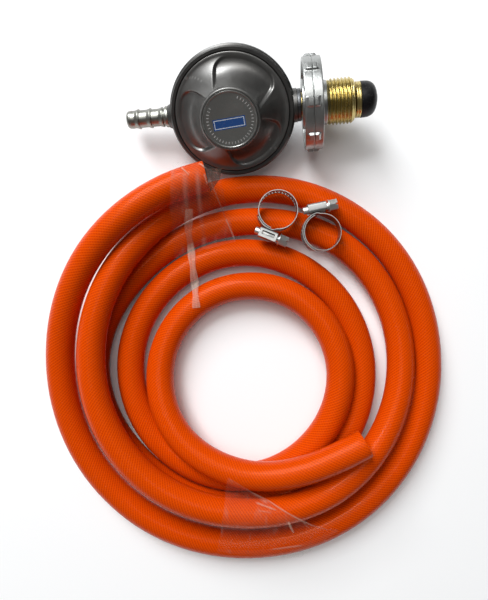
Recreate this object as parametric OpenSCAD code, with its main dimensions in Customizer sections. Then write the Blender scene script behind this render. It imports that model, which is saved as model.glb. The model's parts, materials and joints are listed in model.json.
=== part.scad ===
// Cylinder regulator set: a low-pressure gas regulator with a hand wheel,
// two worm-drive hose clips and a coil of hose held by clear tape.
// Units are millimetres. +Z is up from the surface that the set lies on, and
// the origin is on that surface, midway along and across the regulator and clips.
// The regulator has its own frame: its gas line runs along X from the hose tail
// to the inlet, and its cover faces Z.

/* [Layout] */
// Place of the regulator's middle, across and along the surface
reg_at = [-8.2, 23.1]; // [-40:0.1:60]
// Turn of the gas line about the vertical, in degrees
reg_yaw = 3.3; // [-10:0.1:10]
// Rise of the gas line toward the inlet, in degrees
reg_pitch = 5; // [4:0.1:7]
// Lean of the cover toward the coil, in degrees
reg_roll = 30; // [24:0.5:34]
// Middle of the coil
coil_at = [-2.6, -109.9]; // [-140:0.1:40]
// Place of the first clip on the coil: distance from its middle and bearing
clip_a_at = [83.3, 77.9]; // [70:0.1:95]
// Place of the second clip on the coil
clip_b_at = [80.7, 60.1]; // [50:0.1:90]
// Gap left between pieces that rest on each other
rest_gap = 0.3; // [0.2:0.05:0.5]

/* [Body] */
// Outer radius of the rim
rim_r = 32; // [31:0.1:34]
// Height of the rim's top over the gas line
rim_top = 8.6; // [8.4:0.1:9.2]
// Depth of the rim's outer band
rim_h = 7.1; // [6.6:0.1:7.4]
// Thickness of the lip that is rolled over the cover
lip_t = 1.3; // [1:0.1:1.6]
// Overlap of the lip on the cover
lip_w = 0.9; // [0.6:0.1:1.2]
// Depth of the bowl under the gas line
bowl_depth = 14.5; // [14:0.1:16]
// Radius of the bowl's flat foot
foot_r = 13.7; // [13:0.1:15]
// Wall of the bowl
bowl_wall = 3; // [2.4:0.1:3.4]
// Radius of the chamber in the bowl
chamber_r = 26.4; // [25.5:0.1:26.8]
// Radius of the neck at the inlet
neck_r = 8.3; // [7.6:0.1:9]
// How far the neck's face stands out past the rim
neck_out = 0.9; // [0.5:0.1:3]
// Radius of the boss at the outlet
boss_r = 5.7; // [5.4:0.1:6.4]
// How far the outlet boss's face stands out past the rim
boss_out = 1.5; // [1:0.1:4]

/* [Cover] */
// Height of the boss's top over the gas line
cover_top = 22.8; // [22:0.1:25]
// Radius of the boss at its top
crown_r = 14.6; // [14.2:0.1:15.5]
// Wall of the cover
cover_wall = 1.5; // [1.4:0.1:1.8]
// Thickness of the cover's flange
flange_t = 1.3; // [1:0.1:1.5]
// Number of recessed panels
panel_count = 3; // [2:1:4]
// Bearing of the first panel's middle, in degrees
panel_turn = 66; // [0:1:120]
// Half the angle that a panel spans at its outer edge
panel_half = 31; // [26:1:34]
// How much a panel swells at each end, just in from its outer corner, in degrees
panel_swell = 11; // [6:1:12]
// Flare of a panel's ends toward the boss, in degrees
panel_flare = 14; // [4:1:16]
// Radius of the panels' outer edge
panel_r = 26.6; // [25.5:0.1:26.8]
// Radius of the bore for the adjusting nut
nut_bore_r = 8.6; // [8:0.1:9]
// Radius of the disc in the boss
disc_r = 13.3; // [12.5:0.1:13.6]
// Thickness of the disc
disc_t = 1.7; // [1.2:0.1:2]
// Bearing of the disc's snap tab, in degrees
tab_turn = 190; // [0:5:355]

/* [Inlet] */
// Radius of the nipple's stem
stem_r = 6; // [5.5:0.1:6.4]
// Radius of the nipple's gas bore
gas_r = 2.2; // [1.8:0.1:2.6]
// Thickness of the ring between neck and wheel
ring_t = 2; // [1.5:0.1:2.5]
// Radius of that ring
ring_r = 8; // [7.2:0.1:8.6]
// Radius of the union nut's thread
thread_r = 11.24; // [11:0.01:11.5]
// Length of the union nut's thread
thread_l = 13.5; // [12:0.1:16]
// Axial play of the union nut
nut_play = 0.8; // [0.5:0.1:1.2]
// Radius of the nipple's shoulder
shoulder_r = 8.75; // [8.4:0.05:9.2]
// Length of the nipple's shoulder
shoulder_l = 2.5; // [2:0.1:3.5]
// Length of the rubber nose
nose_l = 8.4; // [8:0.1:10]

/* [Hand wheel] */
// Radius over the wheel's lobes
wheel_r = 23.5; // [22.5:0.1:25]
// Height of a lobe
lobe_h = 0.8; // [0.4:0.1:1.2]
// Number of lobes
lobe_count = 8; // [6:1:10]
// Half the angle that a lobe's top spans
lobe_half = 4.5; // [3:0.5:7]
// Width of the wheel's rim
wheel_w = 9.1; // [8:0.1:10]
// Wall of the wheel's rim
wheel_wall = 2; // [1.6:0.1:2.6]
// Thickness of the wheel's web
web_t = 3; // [2.2:0.1:4]
// Radius of the wheel's hub
hub_r = 12.2; // [11.6:0.1:13]
// Radius and length of the collar between wheel and thread
collar = [10.8, 2.8]; // [2:0.1:12]

/* [Hose tail] */
// Radius of the tail's shank
tail_r = 4.4; // [4.2:0.05:4.6]
// Radius over the barbs
barb_r = 5; // [4.8:0.05:5.3]
// Number of barbs
barb_count = 3; // [2:1:4]
// Distance from one barb to the next
barb_pitch = 6.35; // [5:0.05:7]
// Distance from the tail's tip to the first barb
barb_first = 6.2; // [5:0.1:7]
// Distance from the middle to the tail's tip
tail_x = 55.8; // [55:0.5:64]
// Radius of the tail's bore
tail_bore_r = 2.8; // [2.2:0.1:3.2]

/* [Mechanism] */
// Distance from the gas line down to the lever's pin
pin_drop = 5; // [4.6:0.1:5.4]
// Distance from the stem down the lever to its pin
arm_l = 9.5; // [9:0.1:10]
// Radius of the lever's pin
pin_r = 1; // [0.8:0.05:1.2]
// Thickness of the lever
lever_t = 1.2; // [1:0.1:1.4]
// Radius of the valve plunger
plunger_r = 2.2; // [2:0.1:2.4]
// Thickness of the valve's rubber pad
pad_t = 1.1; // [0.8:0.1:1.4]
// Gap between the open valve's pad and the jet
valve_gap = 0.65; // [0.64:0.01:0.8]
// Radius of the jet's hole
jet_r = 0.9; // [0.6:0.1:1.1]
// Radius of the pull stem
pull_r = 2.6; // [2.4:0.1:3]
// Thickness of the diaphragm's sheet
sheet_t = 0.6; // [0.5:0.1:0.8]
// Thickness of the diaphragm's edge bead
bead_t = 1; // [0.8:0.1:1.1]
// Radius of the diaphragm's plate
plate_r = 17; // [15:0.5:17.5]
// Mean radius of the main spring
spring_r = 6; // [5.6:0.1:6.4]
// Radius of the main spring's wire
wire_r = 0.7; // [0.5:0.05:0.8]
// Number of the main spring's curls
spring_curls = 3.5; // [3:0.5:4]
// Thickness of the adjusting nut
adjuster_t = 3; // [2.4:0.1:3.4]

/* [Clips] */
// Inner radius of the first clip
clip_a_r = 9.6; // [9:0.1:10.5]
// Inner radius of the second clip
clip_b_r = 9; // [8.6:0.1:10]
// Width of the clips' bands
band_w = 8; // [7:0.1:9]
// Thickness of the bands
band_t = 0.65; // [0.5:0.05:0.8]
// Length of the worm housing
house_l = 9.6; // [8:0.1:10]
// Depth of the worm housing, outward from the band
house_d = 5.8; // [5.6:0.1:6.4]
// Radius of the worm screw
worm_r = 2.3; // [2:0.1:2.4]
// Radius and length of the screw's hex head
screw_head = [3, 4.2]; // [2.6:0.1:5]
// Length of the screw's neck, from the housing to the head
screw_neck = 1.8; // [1:0.1:2.5]
// Pitch of the slots in the band
slot_pitch = 1.7; // [1.5:0.1:2.2]
// Width and height of a slot
slot_size = [0.8, 4.6]; // [0.6:0.1:5.5]

/* [Hose] */
// Radius of the hose
hose_r = 7.3; // [7:0.05:7.4]
// Radius of the hose's bore
hose_bore_r = 4; // [3.5:0.1:4.5]
// Sheet thickness of the tape
tape_t = 0.4; // [0.3:0.05:0.6]

/* [Hidden] */

$fn = 72;
eps = 0.01;

// Clearances
run = 0.06;         // radial, between pieces that turn or slide on each other
seat = 0.02;        // between pieces pressed together
snap = 0.1;         // round pieces that clip in
cut = 1;            // how far a cutter runs past what it cuts

// The clamped edge: ledge, diaphragm bead, cover flange and rolled lip
lip_under = rim_top - lip_t;
flange_z = lip_under - flange_t;
ledge_z = flange_z - bead_t;
recess_r = rim_r - 2;
lip_r = recess_r - lip_w;
flange_r = recess_r - snap;

boss_x = rim_r + boss_out;

// The inlet line, from the neck outward
neck_x = rim_r + neck_out;
ring_x = neck_x;
wheel_x = ring_x + ring_t + 1;
hub_x = ring_x + ring_t + 2 * seat + rest_gap;
hex_x = hub_x + 1.5;
hex_r = 9;
collar_x = wheel_x + wheel_w;
thread_x = collar_x + collar[1];
nut_end_x = thread_x + thread_l;
shoulder_x = nut_end_x + nut_play;
nose_x = shoulder_x + shoulder_l;
spigot_r = 4;
spigot_l = 4.4;
nipple_r = 3.8;     // in the body
nipple_x = 24;

// The mechanism: the pull stem is at the middle, and the lever's pin is beside it
pin_x = arm_l;
floor_z = bowl_wall - bowl_depth;
guide_x = pin_x + 2.1;
guide_t = 2;
plunger_x = pin_x - 1.8;
plunger_l = 7.2;
pad_x = plunger_x + plunger_l;
jet_x = pad_x + pad_t + valve_gap;
jet_lip = 1;
jet_body_r = 3;
post_x = jet_x + jet_lip;
post_r = 4.4;
pin_half = 5.9;
sheet_z = ledge_z + bead_t - sheet_t;
plate_t = 0.6;
plate_z = ledge_z + bead_t + rest_gap;
fold_w = 0.43 * (chamber_r - plate_r);   // the diaphragm's rolled fold, in the gap round its plate
fold_r = plate_r + 0.75 * fold_w;
fold_h = 0.9;
lift = 1.2;         // the diaphragm's travel, from open valve to shut
disc_z = cover_top - 1.3;
adjuster_z = disc_z - 2.1 - adjuster_t;

// The clips lie on the crowns of the outer turns
clip_z = 2 * hose_r + 0.4 + rest_gap;

// The wheel's lobes
lobe_turn = 32.5;
lobe_slope = 2.5;   // how many degrees a lobe's side takes to fall to the rim
lobe_inset = 1;     // from the wheel's open edge to a lobe's top
edge = 0.4;

// Radius of the wheel's outline at a bearing: lobes with sloping sides
function lobe_share(a) =
    let (pitch = 360 / lobe_count, off = abs((a + pitch / 2) % pitch - pitch / 2))
    max(0, min(1, (lobe_half + lobe_slope - off) / lobe_slope));
function wheel_outline_r(a) = wheel_r - lobe_h * (1 - lobe_share(a));

// ---- shared shapes -------------------------------------------------------

// Carries a piece from the regulator's own frame to its place
module on_regulator() {
    translate([reg_at[0], reg_at[1], reg_z])
        rotate([0, 0, reg_yaw])
            rotate([0, -reg_pitch, 0])
                rotate([reg_roll, 0, 0])
                    children();
}

// Turns a profile of [distance along the gas line, radius] points round the line
module turned(points) {
    rotate([0, 90, 0])
        rotate_extrude()
            polygon([for (p = points) [p[1], p[0]]]);
}

// A round bar or bore along the gas line, from x0 to x1
module along(x0, x1, r) {
    translate([x0, 0, 0])
        rotate([0, 90, 0])
            cylinder(r = r, h = x1 - x0);
}

function unit(v) = v / norm(v);

// One ring of points round a path's point, square to the path
function ring(at, dir, r, sides) =
    let (side = unit(cross(dir, [0, 0, 1])), up = cross(side, dir))
    [for (k = [0 : sides - 1])
        let (a = 90 + 360 * k / sides) at + r * (cos(a) * side + sin(a) * up)];

function heading(path, i) =
    unit(path[min(i + 1, len(path) - 1)] - path[max(i - 1, 0)]);

function rings(path, r, sides) =
    [for (i = [0 : len(path) - 1]) ring(path[i], heading(path, i), r, sides)];

function flat(lists) = [for (l = lists) for (v = l) v];

// Triangles between successive rings, which start at point number first
function skin(count, sides, first, out) =
    [for (i = [0 : count - 2], k = [0 : sides - 1], half = [0, 1])
        let (a = first + i * sides + k, b = first + i * sides + (k + 1) % sides,
             tri = half == 0 ? [a, b, a + sides] : [b, b + sides, a + sides])
        out ? tri : [tri[0], tri[2], tri[1]]];

// A solid rod along a path
module rod(path, r, sides) {
    count = len(path);
    last = (count - 1) * sides;
    ends = [for (k = [1 : sides - 2], e = [0, 1])
        e == 0 ? [0, k + 1, k] : [last, last + k, last + k + 1]];
    polyhedron(flat(rings(path, r, sides)), concat(skin(count, sides, 0, true), ends));
}

// A hose along a path, open at both ends
module tube(path, r, bore, sides) {
    count = len(path);
    inner = count * sides;
    last = (count - 1) * sides;
    ends = [for (k = [0 : sides - 1], e = [0, 1], half = [0, 1])
        let (n = (k + 1) % sides, s = e * last,
             tri = half == 0 ? [s + k, inner + s + k, inner + s + n] : [s + k, inner + s + n, s + n])
        e == 0 ? tri : [tri[0], tri[2], tri[1]]];
    polyhedron(
        flat(concat(rings(path, r, sides), rings(path, bore, sides))),
        concat(skin(count, sides, 0, true), skin(count, sides, inner, false), ends));
}

// ---- body ----------------------------------------------------------------

// Half section of the bowl and rim, with the chamber open to the top. The bowl's
// flank slopes as the regulator leans, so that it lies along the surface.
flank_l = 9;
bowl_points = [
    [0, -bowl_depth], [foot_r, -bowl_depth], [foot_r + flank_l, flank_l * tan(reg_roll + 0.5) - bowl_depth],
    [rim_r - 4.8, -bowl_depth + 10.2],
    [rim_r - 3.6, rim_top - rim_h - 1.2],
    [rim_r - 2.4, rim_top - rim_h - 0.4], [rim_r - 0.5, rim_top - rim_h],
    [rim_r, rim_top - rim_h + 0.6], [rim_r, rim_top - 3.2], [rim_r - 0.7, rim_top - 2.7],
    [rim_r - 0.7, rim_top - 0.7], [rim_r - 1.3, rim_top],
    [lip_r + 0.3, rim_top], [lip_r, rim_top - 0.3], [lip_r, lip_under],
    [recess_r, lip_under], [recess_r, ledge_z], [chamber_r, ledge_z],
    [chamber_r, -bowl_depth + 12.5], [chamber_r - 3, -bowl_depth + 7.6],
    [foot_r + 2, floor_z + 0.6], [foot_r + 0.8, floor_z], [0, floor_z]
];

// The chamber's hollow up to a height, grown into its wall so that what stands
// in the chamber joins the wall, and the neck and boss stay out of it
module chamber_hollow(top) {
    grow = 0.5;
    rotate_extrude() polygon([
        [0, floor_z - grow], [foot_r + 0.8 + grow, floor_z - grow], [foot_r + 2 + grow, floor_z + 0.6 - grow / 2],
        [chamber_r - 3 + grow, -bowl_depth + 7.6 - grow / 2], [chamber_r + grow, -bowl_depth + 12.5],
        [chamber_r + grow, top], [0, top]]);
}

// The regulator rests on its wheel and on its bowl's flank, whichever lifts it more
function floor_reach(r, x) = r * cos(reg_pitch) - x * sin(reg_pitch);
wheel_rest = max([for (a = [0 : 2.5 : 357.5])
    floor_reach(wheel_outline_r(a) * cos(a + lobe_turn + reg_roll), wheel_x + lobe_inset)]);
bowl_rest = max([for (p = bowl_points)
    p[0] * norm([sin(reg_roll) * cos(reg_pitch), sin(reg_pitch)]) - p[1] * cos(reg_roll) * cos(reg_pitch)]);
reg_z = max(wheel_rest, bowl_rest) + 0.02;

// Ears that carry the lever's pin, rising from the chamber's floor
module pin_ears() {
    ear_t = 2.4;
    for (side = [-1, 1])
        translate([pin_x, side * (pin_half - ear_t / 2), 0])
            rotate([90, 0, 0])
                linear_extrude(ear_t, center = true) {
                    translate([0, -pin_drop]) circle(r = pin_r + 1.6);
                    translate([-pin_r - 1.6, floor_z - cut])
                        square([2 * pin_r + 3.2, -pin_drop - floor_z + cut]);
                }
}

// Upright that guides the valve plunger
module plunger_guide() {
    w = plunger_r + 1.4;
    translate([guide_x, -w, floor_z - cut]) cube([guide_t, 2 * w, -floor_z + cut]);
    along(guide_x, guide_x + guide_t, w);
}

// Post that holds the jet, clear under the diaphragm
module jet_post() {
    along(post_x, chamber_r + cut, post_r);
    translate([post_x, -post_r, floor_z - cut])
        cube([4, 2 * post_r, -floor_z + cut]);
}

module lower_body() {
    color("slategray") on_regulator() difference() {
        union() {
            rotate_extrude() polygon(bowl_points);
            difference() {
                union() {
                    along(rim_r - 10, neck_x, neck_r);
                    turned([[-boss_x, 0], [-boss_x, boss_r], [1.5 - boss_x, boss_r + 0.6],
                            [7 - boss_x, boss_r + 2.4], [11 - boss_x, boss_r + 2.4], [11 - boss_x, 0]]);
                }
                chamber_hollow(2 * neck_r);
                translate([0, 0, ledge_z - 0.3]) cylinder(r = recess_r + 0.3, h = 2 * neck_r);
            }
            intersection() {
                union() {
                    pin_ears();
                    plunger_guide();
                    jet_post();
                }
                chamber_hollow(ledge_z - 0.4);
            }
        }
        along(nipple_x, neck_x + cut, nipple_r + seat);
        along(post_x - cut, nipple_x + eps, jet_body_r + seat);
        along(guide_x - cut, guide_x + guide_t + cut, plunger_r + run);
        along(-boss_x - cut, -chamber_r + 3, tail_r + seat);
        translate([pin_x, 0, -pin_drop])
            rotate([90, 0, 0]) cylinder(r = pin_r + seat, h = 2 * pin_half + 2, center = true);
    }
}

// ---- cover ---------------------------------------------------------------

skirt_r = lip_r - 0.3;      // where the cover comes up inside the lip
skirt_z = lip_under + 1.1;
dome_r = skirt_r - 1.6;
crown_foot = crown_r + 0.4;
shoulder_z = cover_top - 1.8;   // where the dome meets the boss
panel_foot = 0.6;           // how far a panel runs under the ribs at the boss
steps = 6;

// Height of the cover at radius r: on the ribs between panels, and in a panel
function dome_z(r) =
    skirt_z + (shoulder_z - skirt_z) * pow((dome_r - r) / (dome_r - crown_foot), 1.6);
function panel_z(r) =
    skirt_z - 0.5 + (shoulder_z - panel_foot - skirt_z + 0.5) * pow((panel_r - r) / (panel_r - crown_foot), 2.7);

// Radii at which a curved section is worked out, from r0 inward to r1
function radii(r0, r1) = [for (i = [0 : steps]) r0 + (r1 - r0) * i / steps];
function reversed(list) = [for (i = [len(list) - 1 : -1 : 0]) list[i]];

// Side of a recessed panel: it swells out just in from its rounded outer corner,
// and flares toward the boss
function panel_side(sign) =
    [for (i = [-1 : steps])
        let (f = max(0, i / steps), r = i < 0 ? panel_r + 3 : panel_r + (crown_r - 2 - panel_r) * f,
             a = panel_half + panel_swell * (1 - pow(1 - f, 5)) + panel_flare * pow(f, 3) - (i < 0 ? 6 : 0))
        r * [cos(a), sign * sin(a)]];

module panel_cutter() {
    intersection() {
        linear_extrude(cover_top + cut) polygon(concat(
            panel_side(1),
            [for (a = [panel_half : -panel_half / 2 : -panel_half]) (crown_r - 4) * [cos(a), sin(a)]],
            reversed(panel_side(-1)),
            [for (a = [-panel_half / 2, 0, panel_half / 2]) (panel_r + 5) * [cos(a), sin(a)]]));
        rotate_extrude() polygon(concat(
            [for (r = radii(panel_r, crown_foot + 0.2)) [r, panel_z(r)]],
            [[crown_foot + 0.2, cover_top + 2 * cut], [panel_r, cover_top + 2 * cut]]));
    }
}

// Half section of the cover, with the adjuster's bore and the disc's seat
cover_points = concat(
    [[flange_r, flange_z], [flange_r, lip_under], [skirt_r, lip_under], [skirt_r, skirt_z - 0.3],
     [skirt_r - 0.3, skirt_z]],
    [for (r = radii(dome_r, crown_foot)) [r, dome_z(r)]],
    [[crown_r, cover_top - 0.5], [crown_r - 0.5, cover_top], [disc_r + snap, cover_top],
     [disc_r + snap, disc_z], [nut_bore_r, disc_z], [nut_bore_r, adjuster_z - 2],
     [nut_bore_r + 2, adjuster_z - 2], [nut_bore_r + 2, disc_z - 2], [crown_r - 1.4, disc_z - 2]],
    [for (r = reversed(radii(panel_r, crown_foot))) [r - 0.6, panel_z(r) - cover_wall]],
    [[panel_r + 0.3, flange_z]]);

module cover() {
    color("gray") on_regulator() difference() {
        rotate_extrude() polygon(cover_points);
        for (i = [0 : panel_count - 1])
            rotate([0, 0, panel_turn + 360 * i / panel_count]) panel_cutter();
        rotate([0, 0, tab_turn])
            translate([disc_r - 1, -1.4, disc_z + 0.4]) cube([crown_r, 2.8, cover_top]);
    }
}

module label_disc() {
    color("silver") on_regulator() {
        difference() {
            union() {
                translate([0, 0, disc_z]) cylinder(r = disc_r, h = disc_t);
                translate([0, 0, disc_z + disc_t - eps]) cylinder(r = disc_r, h = 0.3);
                translate([0, 0, disc_z - 1.8]) cylinder(r = nut_bore_r - snap, h = 1.8 + eps);
            }
            translate([0, 0, disc_z + disc_t]) cylinder(r = disc_r - 0.6, h = cut);
            translate([0, 0, disc_z - 3]) cylinder(r = nut_bore_r - 1.2, h = 3 + disc_t / 2);
        }
        rotate([0, 0, tab_turn])
            translate([disc_r - 0.6, -1.2, disc_z + 0.6]) cube([crown_r + 0.3 - disc_r, 2.4, disc_t - 0.6]);
    }
}

// ---- mechanism -----------------------------------------------------------

module adjusting_nut() {
    color("goldenrod") on_regulator() translate([0, 0, adjuster_z]) difference() {
        cylinder(r = nut_bore_r - run, h = adjuster_t);
        translate([0, 0, -cut]) cylinder(r = 4, h = adjuster_t + 2 * cut, $fn = 6);
    }
}

module main_spring() {
    low = plate_z + plate_t + wire_r + 0.1;
    high = adjuster_z - wire_r - 0.1;
    turns = 8 * spring_curls;
    path = [for (i = [0 : turns])
        [spring_r * cos(45 * i), spring_r * sin(45 * i), low + (high - low) * i / turns]];
    color("lightsteelblue") on_regulator() rod(path, wire_r, 6);
}

module diaphragm() {
    hole_r = pull_r + 0.4;
    top_z = sheet_z + sheet_t;
    color("darkslategray") on_regulator() rotate_extrude() polygon([
        [hole_r, sheet_z], [fold_r - fold_w / 2, sheet_z], [fold_r - 0.3 * fold_w, sheet_z + fold_h],
        [fold_r + 0.3 * fold_w, sheet_z + fold_h], [fold_r + fold_w / 2, sheet_z],
        [chamber_r - 0.4, sheet_z], [chamber_r - 0.2, ledge_z],
        [recess_r - snap, ledge_z], [recess_r - snap, flange_z], [chamber_r - 0.6, flange_z],
        [fold_r + 0.65 * fold_w, top_z], [fold_r + 0.375 * fold_w, top_z + fold_h],
        [fold_r - 0.375 * fold_w, top_z + fold_h], [fold_r - 0.65 * fold_w, top_z], [hole_r, top_z]]);
}

module diaphragm_plate() {
    color("gainsboro") on_regulator() difference() {
        union() {
            translate([0, 0, plate_z]) cylinder(r = plate_r, h = plate_t);
            translate([0, 0, plate_z + plate_t - eps])
                cylinder(r = spring_r - wire_r - 0.4, h = 2 * plate_t);
        }
        translate([0, 0, plate_z - cut]) cylinder(r = pull_r - 1 + seat, h = 3 * plate_t + 2 * cut);
    }
}

module pull_stem() {
    window = [lever_t + 0.9, 2.5];
    low = -pin_drop - 3;
    color("khaki") on_regulator() difference() {
        union() {
            translate([0, 0, low]) cylinder(r = pull_r, h = plate_z - low);
            translate([0, 0, plate_z - eps]) cylinder(r = pull_r - 1, h = 2.6);
        }
        translate([0, 0, -pin_drop])
            cube([4 * pull_r, window[1], window[0]], center = true);
    }
}

module lever() {
    tip = -pull_r - 0.9;
    color("silver") on_regulator() translate([0, 0, -pin_drop]) difference() {
        union() {
            translate([tip, -1, -lever_t / 2]) cube([pin_x - tip, 2, lever_t]);
            translate([pull_r + 1, -2, -lever_t / 2]) cube([pin_x - pull_r - 1, 4, lever_t]);
            translate([pin_x, 0, 0]) rotate([90, 0, 0]) cylinder(r = pin_r + 0.9, h = 6, center = true);
            translate([pin_x - lever_t / 2, -1.2, 0]) cube([lever_t, 2.4, pin_drop + 1]);
        }
        translate([pin_x, 0, 0]) rotate([90, 0, 0]) cylinder(r = pin_r + run, h = 8, center = true);
    }
}

module lever_pin() {
    color("dimgray") on_regulator() translate([pin_x, 0, -pin_drop])
        rotate([90, 0, 0]) cylinder(r = pin_r, h = 2 * pin_half, center = true);
}

module valve_plunger() {
    slot = lever_t + 0.9;
    color("darkkhaki") on_regulator() difference() {
        along(plunger_x, pad_x, plunger_r);
        translate([pin_x - slot / 2, -1.5, -plunger_r - cut]) cube([slot, 3, plunger_r + cut + 1.5]);
    }
}

module valve_pad() {
    color("black") on_regulator() along(pad_x, pad_x + pad_t, plunger_r - 0.1);
}

module inlet_jet() {
    color("darkgoldenrod") on_regulator() difference() {
        turned([[jet_x, 0], [jet_x, jet_r + 0.6], [post_x, jet_r + 1.4], [post_x, jet_body_r],
                [nipple_x, jet_body_r], [nipple_x, 0]]);
        along(jet_x - cut, nipple_x + cut, jet_r);
        along(post_x + 3, nipple_x + cut, gas_r);
    }
}

module inlet_nipple() {
    color("goldenrod") on_regulator() difference() {
        turned([[nipple_x, 0], [nipple_x, nipple_r], [neck_x, nipple_r], [neck_x, stem_r],
                [shoulder_x, stem_r], [shoulder_x, shoulder_r - 0.3], [shoulder_x + 0.3, shoulder_r],
                [nose_x - 0.3, shoulder_r], [nose_x, shoulder_r - 0.3], [nose_x, spigot_r],
                [nose_x + spigot_l, spigot_r], [nose_x + spigot_l, 0]]);
        along(nipple_x - cut, nose_x + spigot_l + cut, gas_r);
    }
}

module inlet_filter() {
    color("peru") on_regulator() difference() {
        along(shoulder_x - 2, nose_x, gas_r - seat);
        along(shoulder_x - 1, nose_x + cut, gas_r - 0.7);
    }
}

// Fullness of the nose at a share f of its length
function nose_r(f) = (shoulder_r + 0.05) * pow(1 - pow(f, 2.6), 1 / 2.2);

module nose_seal() {
    color("black") on_regulator() difference() {
        turned(concat([[nose_x, 0]],
            [for (i = [0 : 14]) let (f = sin(90 * i / 14)) [nose_x + nose_l * f, max(2.4, nose_r(f))]],
            [[nose_x + nose_l, 0]]));
        along(nose_x - cut, nose_x + spigot_l + seat, spigot_r + seat);
        along(nose_x, nose_x + nose_l + cut, gas_r - 0.4);
    }
}

module neck_ring() {
    color("gainsboro") on_regulator() difference() {
        turned([[ring_x, 0], [ring_x, ring_r - 0.4], [ring_x + 0.4, ring_r],
                [ring_x + ring_t - 0.4, ring_r], [ring_x + ring_t, ring_r - 0.4], [ring_x + ring_t, 0]]);
        along(ring_x - cut, ring_x + ring_t + cut, stem_r + seat);
    }
}

module hose_tail() {
    first = barb_first - tail_x;
    crest = 1;
    slope = 1.6;
    shank_x = -boss_x + 0.2;
    collar_r = barb_r + 0.3;
    barbs = flat([for (i = [0 : barb_count - 1]) let (x = first + i * barb_pitch)
        [[x - slope, tail_r], [x - crest / 2, barb_r], [x + crest / 2, barb_r], [x + crest / 2 + 0.1, tail_r]]]);
    color("silver") on_regulator() difference() {
        turned(concat(
            [[-tail_x, 0], [-tail_x, tail_r - 1.2], [0.35 - tail_x, tail_r - 0.5], [1.2 - tail_x, tail_r],
             [2.4 - tail_x, tail_r + 0.1], [3.4 - tail_x, tail_r]],
            barbs,
            [[-boss_x - 2, tail_r], [-boss_x - 1.8, collar_r], [-boss_x, collar_r], [-boss_x, tail_r],
             [-chamber_r + 1, tail_r], [-chamber_r + 1, 0]]));
        along(-tail_x - cut, -chamber_r + 1 + cut, tail_bore_r);
    }
}

// ---- hand wheel and union nut --------------------------------------------

// Half section of the wheel without its lobes: rim, web, hub and collar
wheel_rim = wheel_r - lobe_h;
wheel_points = [
    [hub_x, stem_r + 1], [hub_x, hub_r - 0.4], [hub_x + 0.4, hub_r], [collar_x - web_t, hub_r],
    [collar_x - web_t, wheel_rim - wheel_wall], [wheel_x, wheel_rim - wheel_wall],
    [wheel_x, wheel_rim - edge], [wheel_x + edge, wheel_rim], [collar_x - 1.2, wheel_rim],
    [collar_x - 0.4, wheel_rim - 0.5], [collar_x, wheel_rim - 1.3], [collar_x, collar[0]],
    [thread_x, collar[0]], [thread_x, stem_r + 1]
];

module handwheel() {
    root = wheel_rim - 0.6;
    inner = lobe_half + lobe_slope;
    color("silver") on_regulator() difference() {
        union() {
            turned(wheel_points);
            for (i = [0 : lobe_count - 1])
                translate([wheel_x + lobe_inset, 0, 0]) rotate([0, 90, 0])
                    rotate([0, 0, lobe_turn + 360 * i / lobe_count])
                        linear_extrude(wheel_w - lobe_inset - 1.6) polygon([
                            root * [cos(inner), -sin(inner)], wheel_rim * [cos(inner), -sin(inner)],
                            wheel_r * [cos(lobe_half), -sin(lobe_half)], [wheel_r, 0],
                            wheel_r * [cos(lobe_half), sin(lobe_half)],
                            wheel_rim * [cos(inner), sin(inner)], root * [cos(inner), sin(inner)]]);
        }
        translate([hex_x, 0, 0]) rotate([0, 90, 0])
            cylinder(r = hex_r + seat, h = thread_x + cut - hex_x, $fn = 6);
    }
}

module union_nut() {
    color("gold") on_regulator() difference() {
        union() {
            translate([hex_x, 0, 0]) rotate([0, 90, 0])
                cylinder(r = hex_r, h = thread_x - hex_x + eps, $fn = 6);
            turned([[thread_x, 0], [thread_x, thread_r], [nut_end_x - 1.2, thread_r],
                    [nut_end_x, thread_r - 1.2], [nut_end_x, 0]]);
        }
        along(hex_x - cut, nut_end_x + cut, stem_r + run);
    }
}

// ---- hose clips ----------------------------------------------------------

// Carries a piece from a clip's own frame: the band's axis is Z, and the worm
// housing is on its +Y side with the screw's head toward +X. A clip that lies
// over on its other side has the head toward -X.
module on_clip(at, turn, over = false) {
    translate([coil_at[0] + at[0] * cos(at[1]), coil_at[1] + at[0] * sin(at[1]), clip_z + (over ? band_w : 0)])
        rotate([0, 0, turn])
            rotate([0, over ? 180 : 0, 0])
                children();
}

// A sector of the plane between two bearings, as wide as r
module sector(a0, a1, r) {
    polygon(concat([[0, 0]], [for (i = [0 : 8]) let (a = a0 + (a1 - a0) * i / 8) [r * cos(a), r * sin(a)]]));
}

// A slotted band with its free end lying outside the loop, past the housing
module clip_band(r, tail_span) {
    outer = r + band_t;
    tail_gap = 0.15;
    step = slot_pitch / r * 180 / PI;
    half = asin(house_l / 2 / outer);
    difference() {
        union() {
            cylinder(r = outer, h = band_w);
            intersection() {
                cylinder(r = outer + tail_gap + band_t, h = band_w);
                linear_extrude(band_w) sector(90, 90 + half + tail_span, 3 * r);
            }
        }
        translate([0, 0, -cut]) cylinder(r = r, h = band_w + 2 * cut);
        intersection() {
            difference() {
                translate([0, 0, -cut]) cylinder(r = outer + tail_gap, h = band_w + 2 * cut);
                translate([0, 0, -2 * cut]) cylinder(r = outer, h = band_w + 4 * cut);
            }
            translate([0, 0, -cut]) linear_extrude(band_w + 2 * cut)
                sector(90 + half - 4, 91 + half + tail_span, 3 * r);
        }
        for (a = [90 + half + 6 : step : 90 + half + 210])
            rotate([0, 0, a]) translate([r, 0, band_w / 2])
                rotate([14, 0, 0])
                    cube([4 * band_t + 1, slot_size[0], slot_size[1]], center = true);
    }
}

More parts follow.
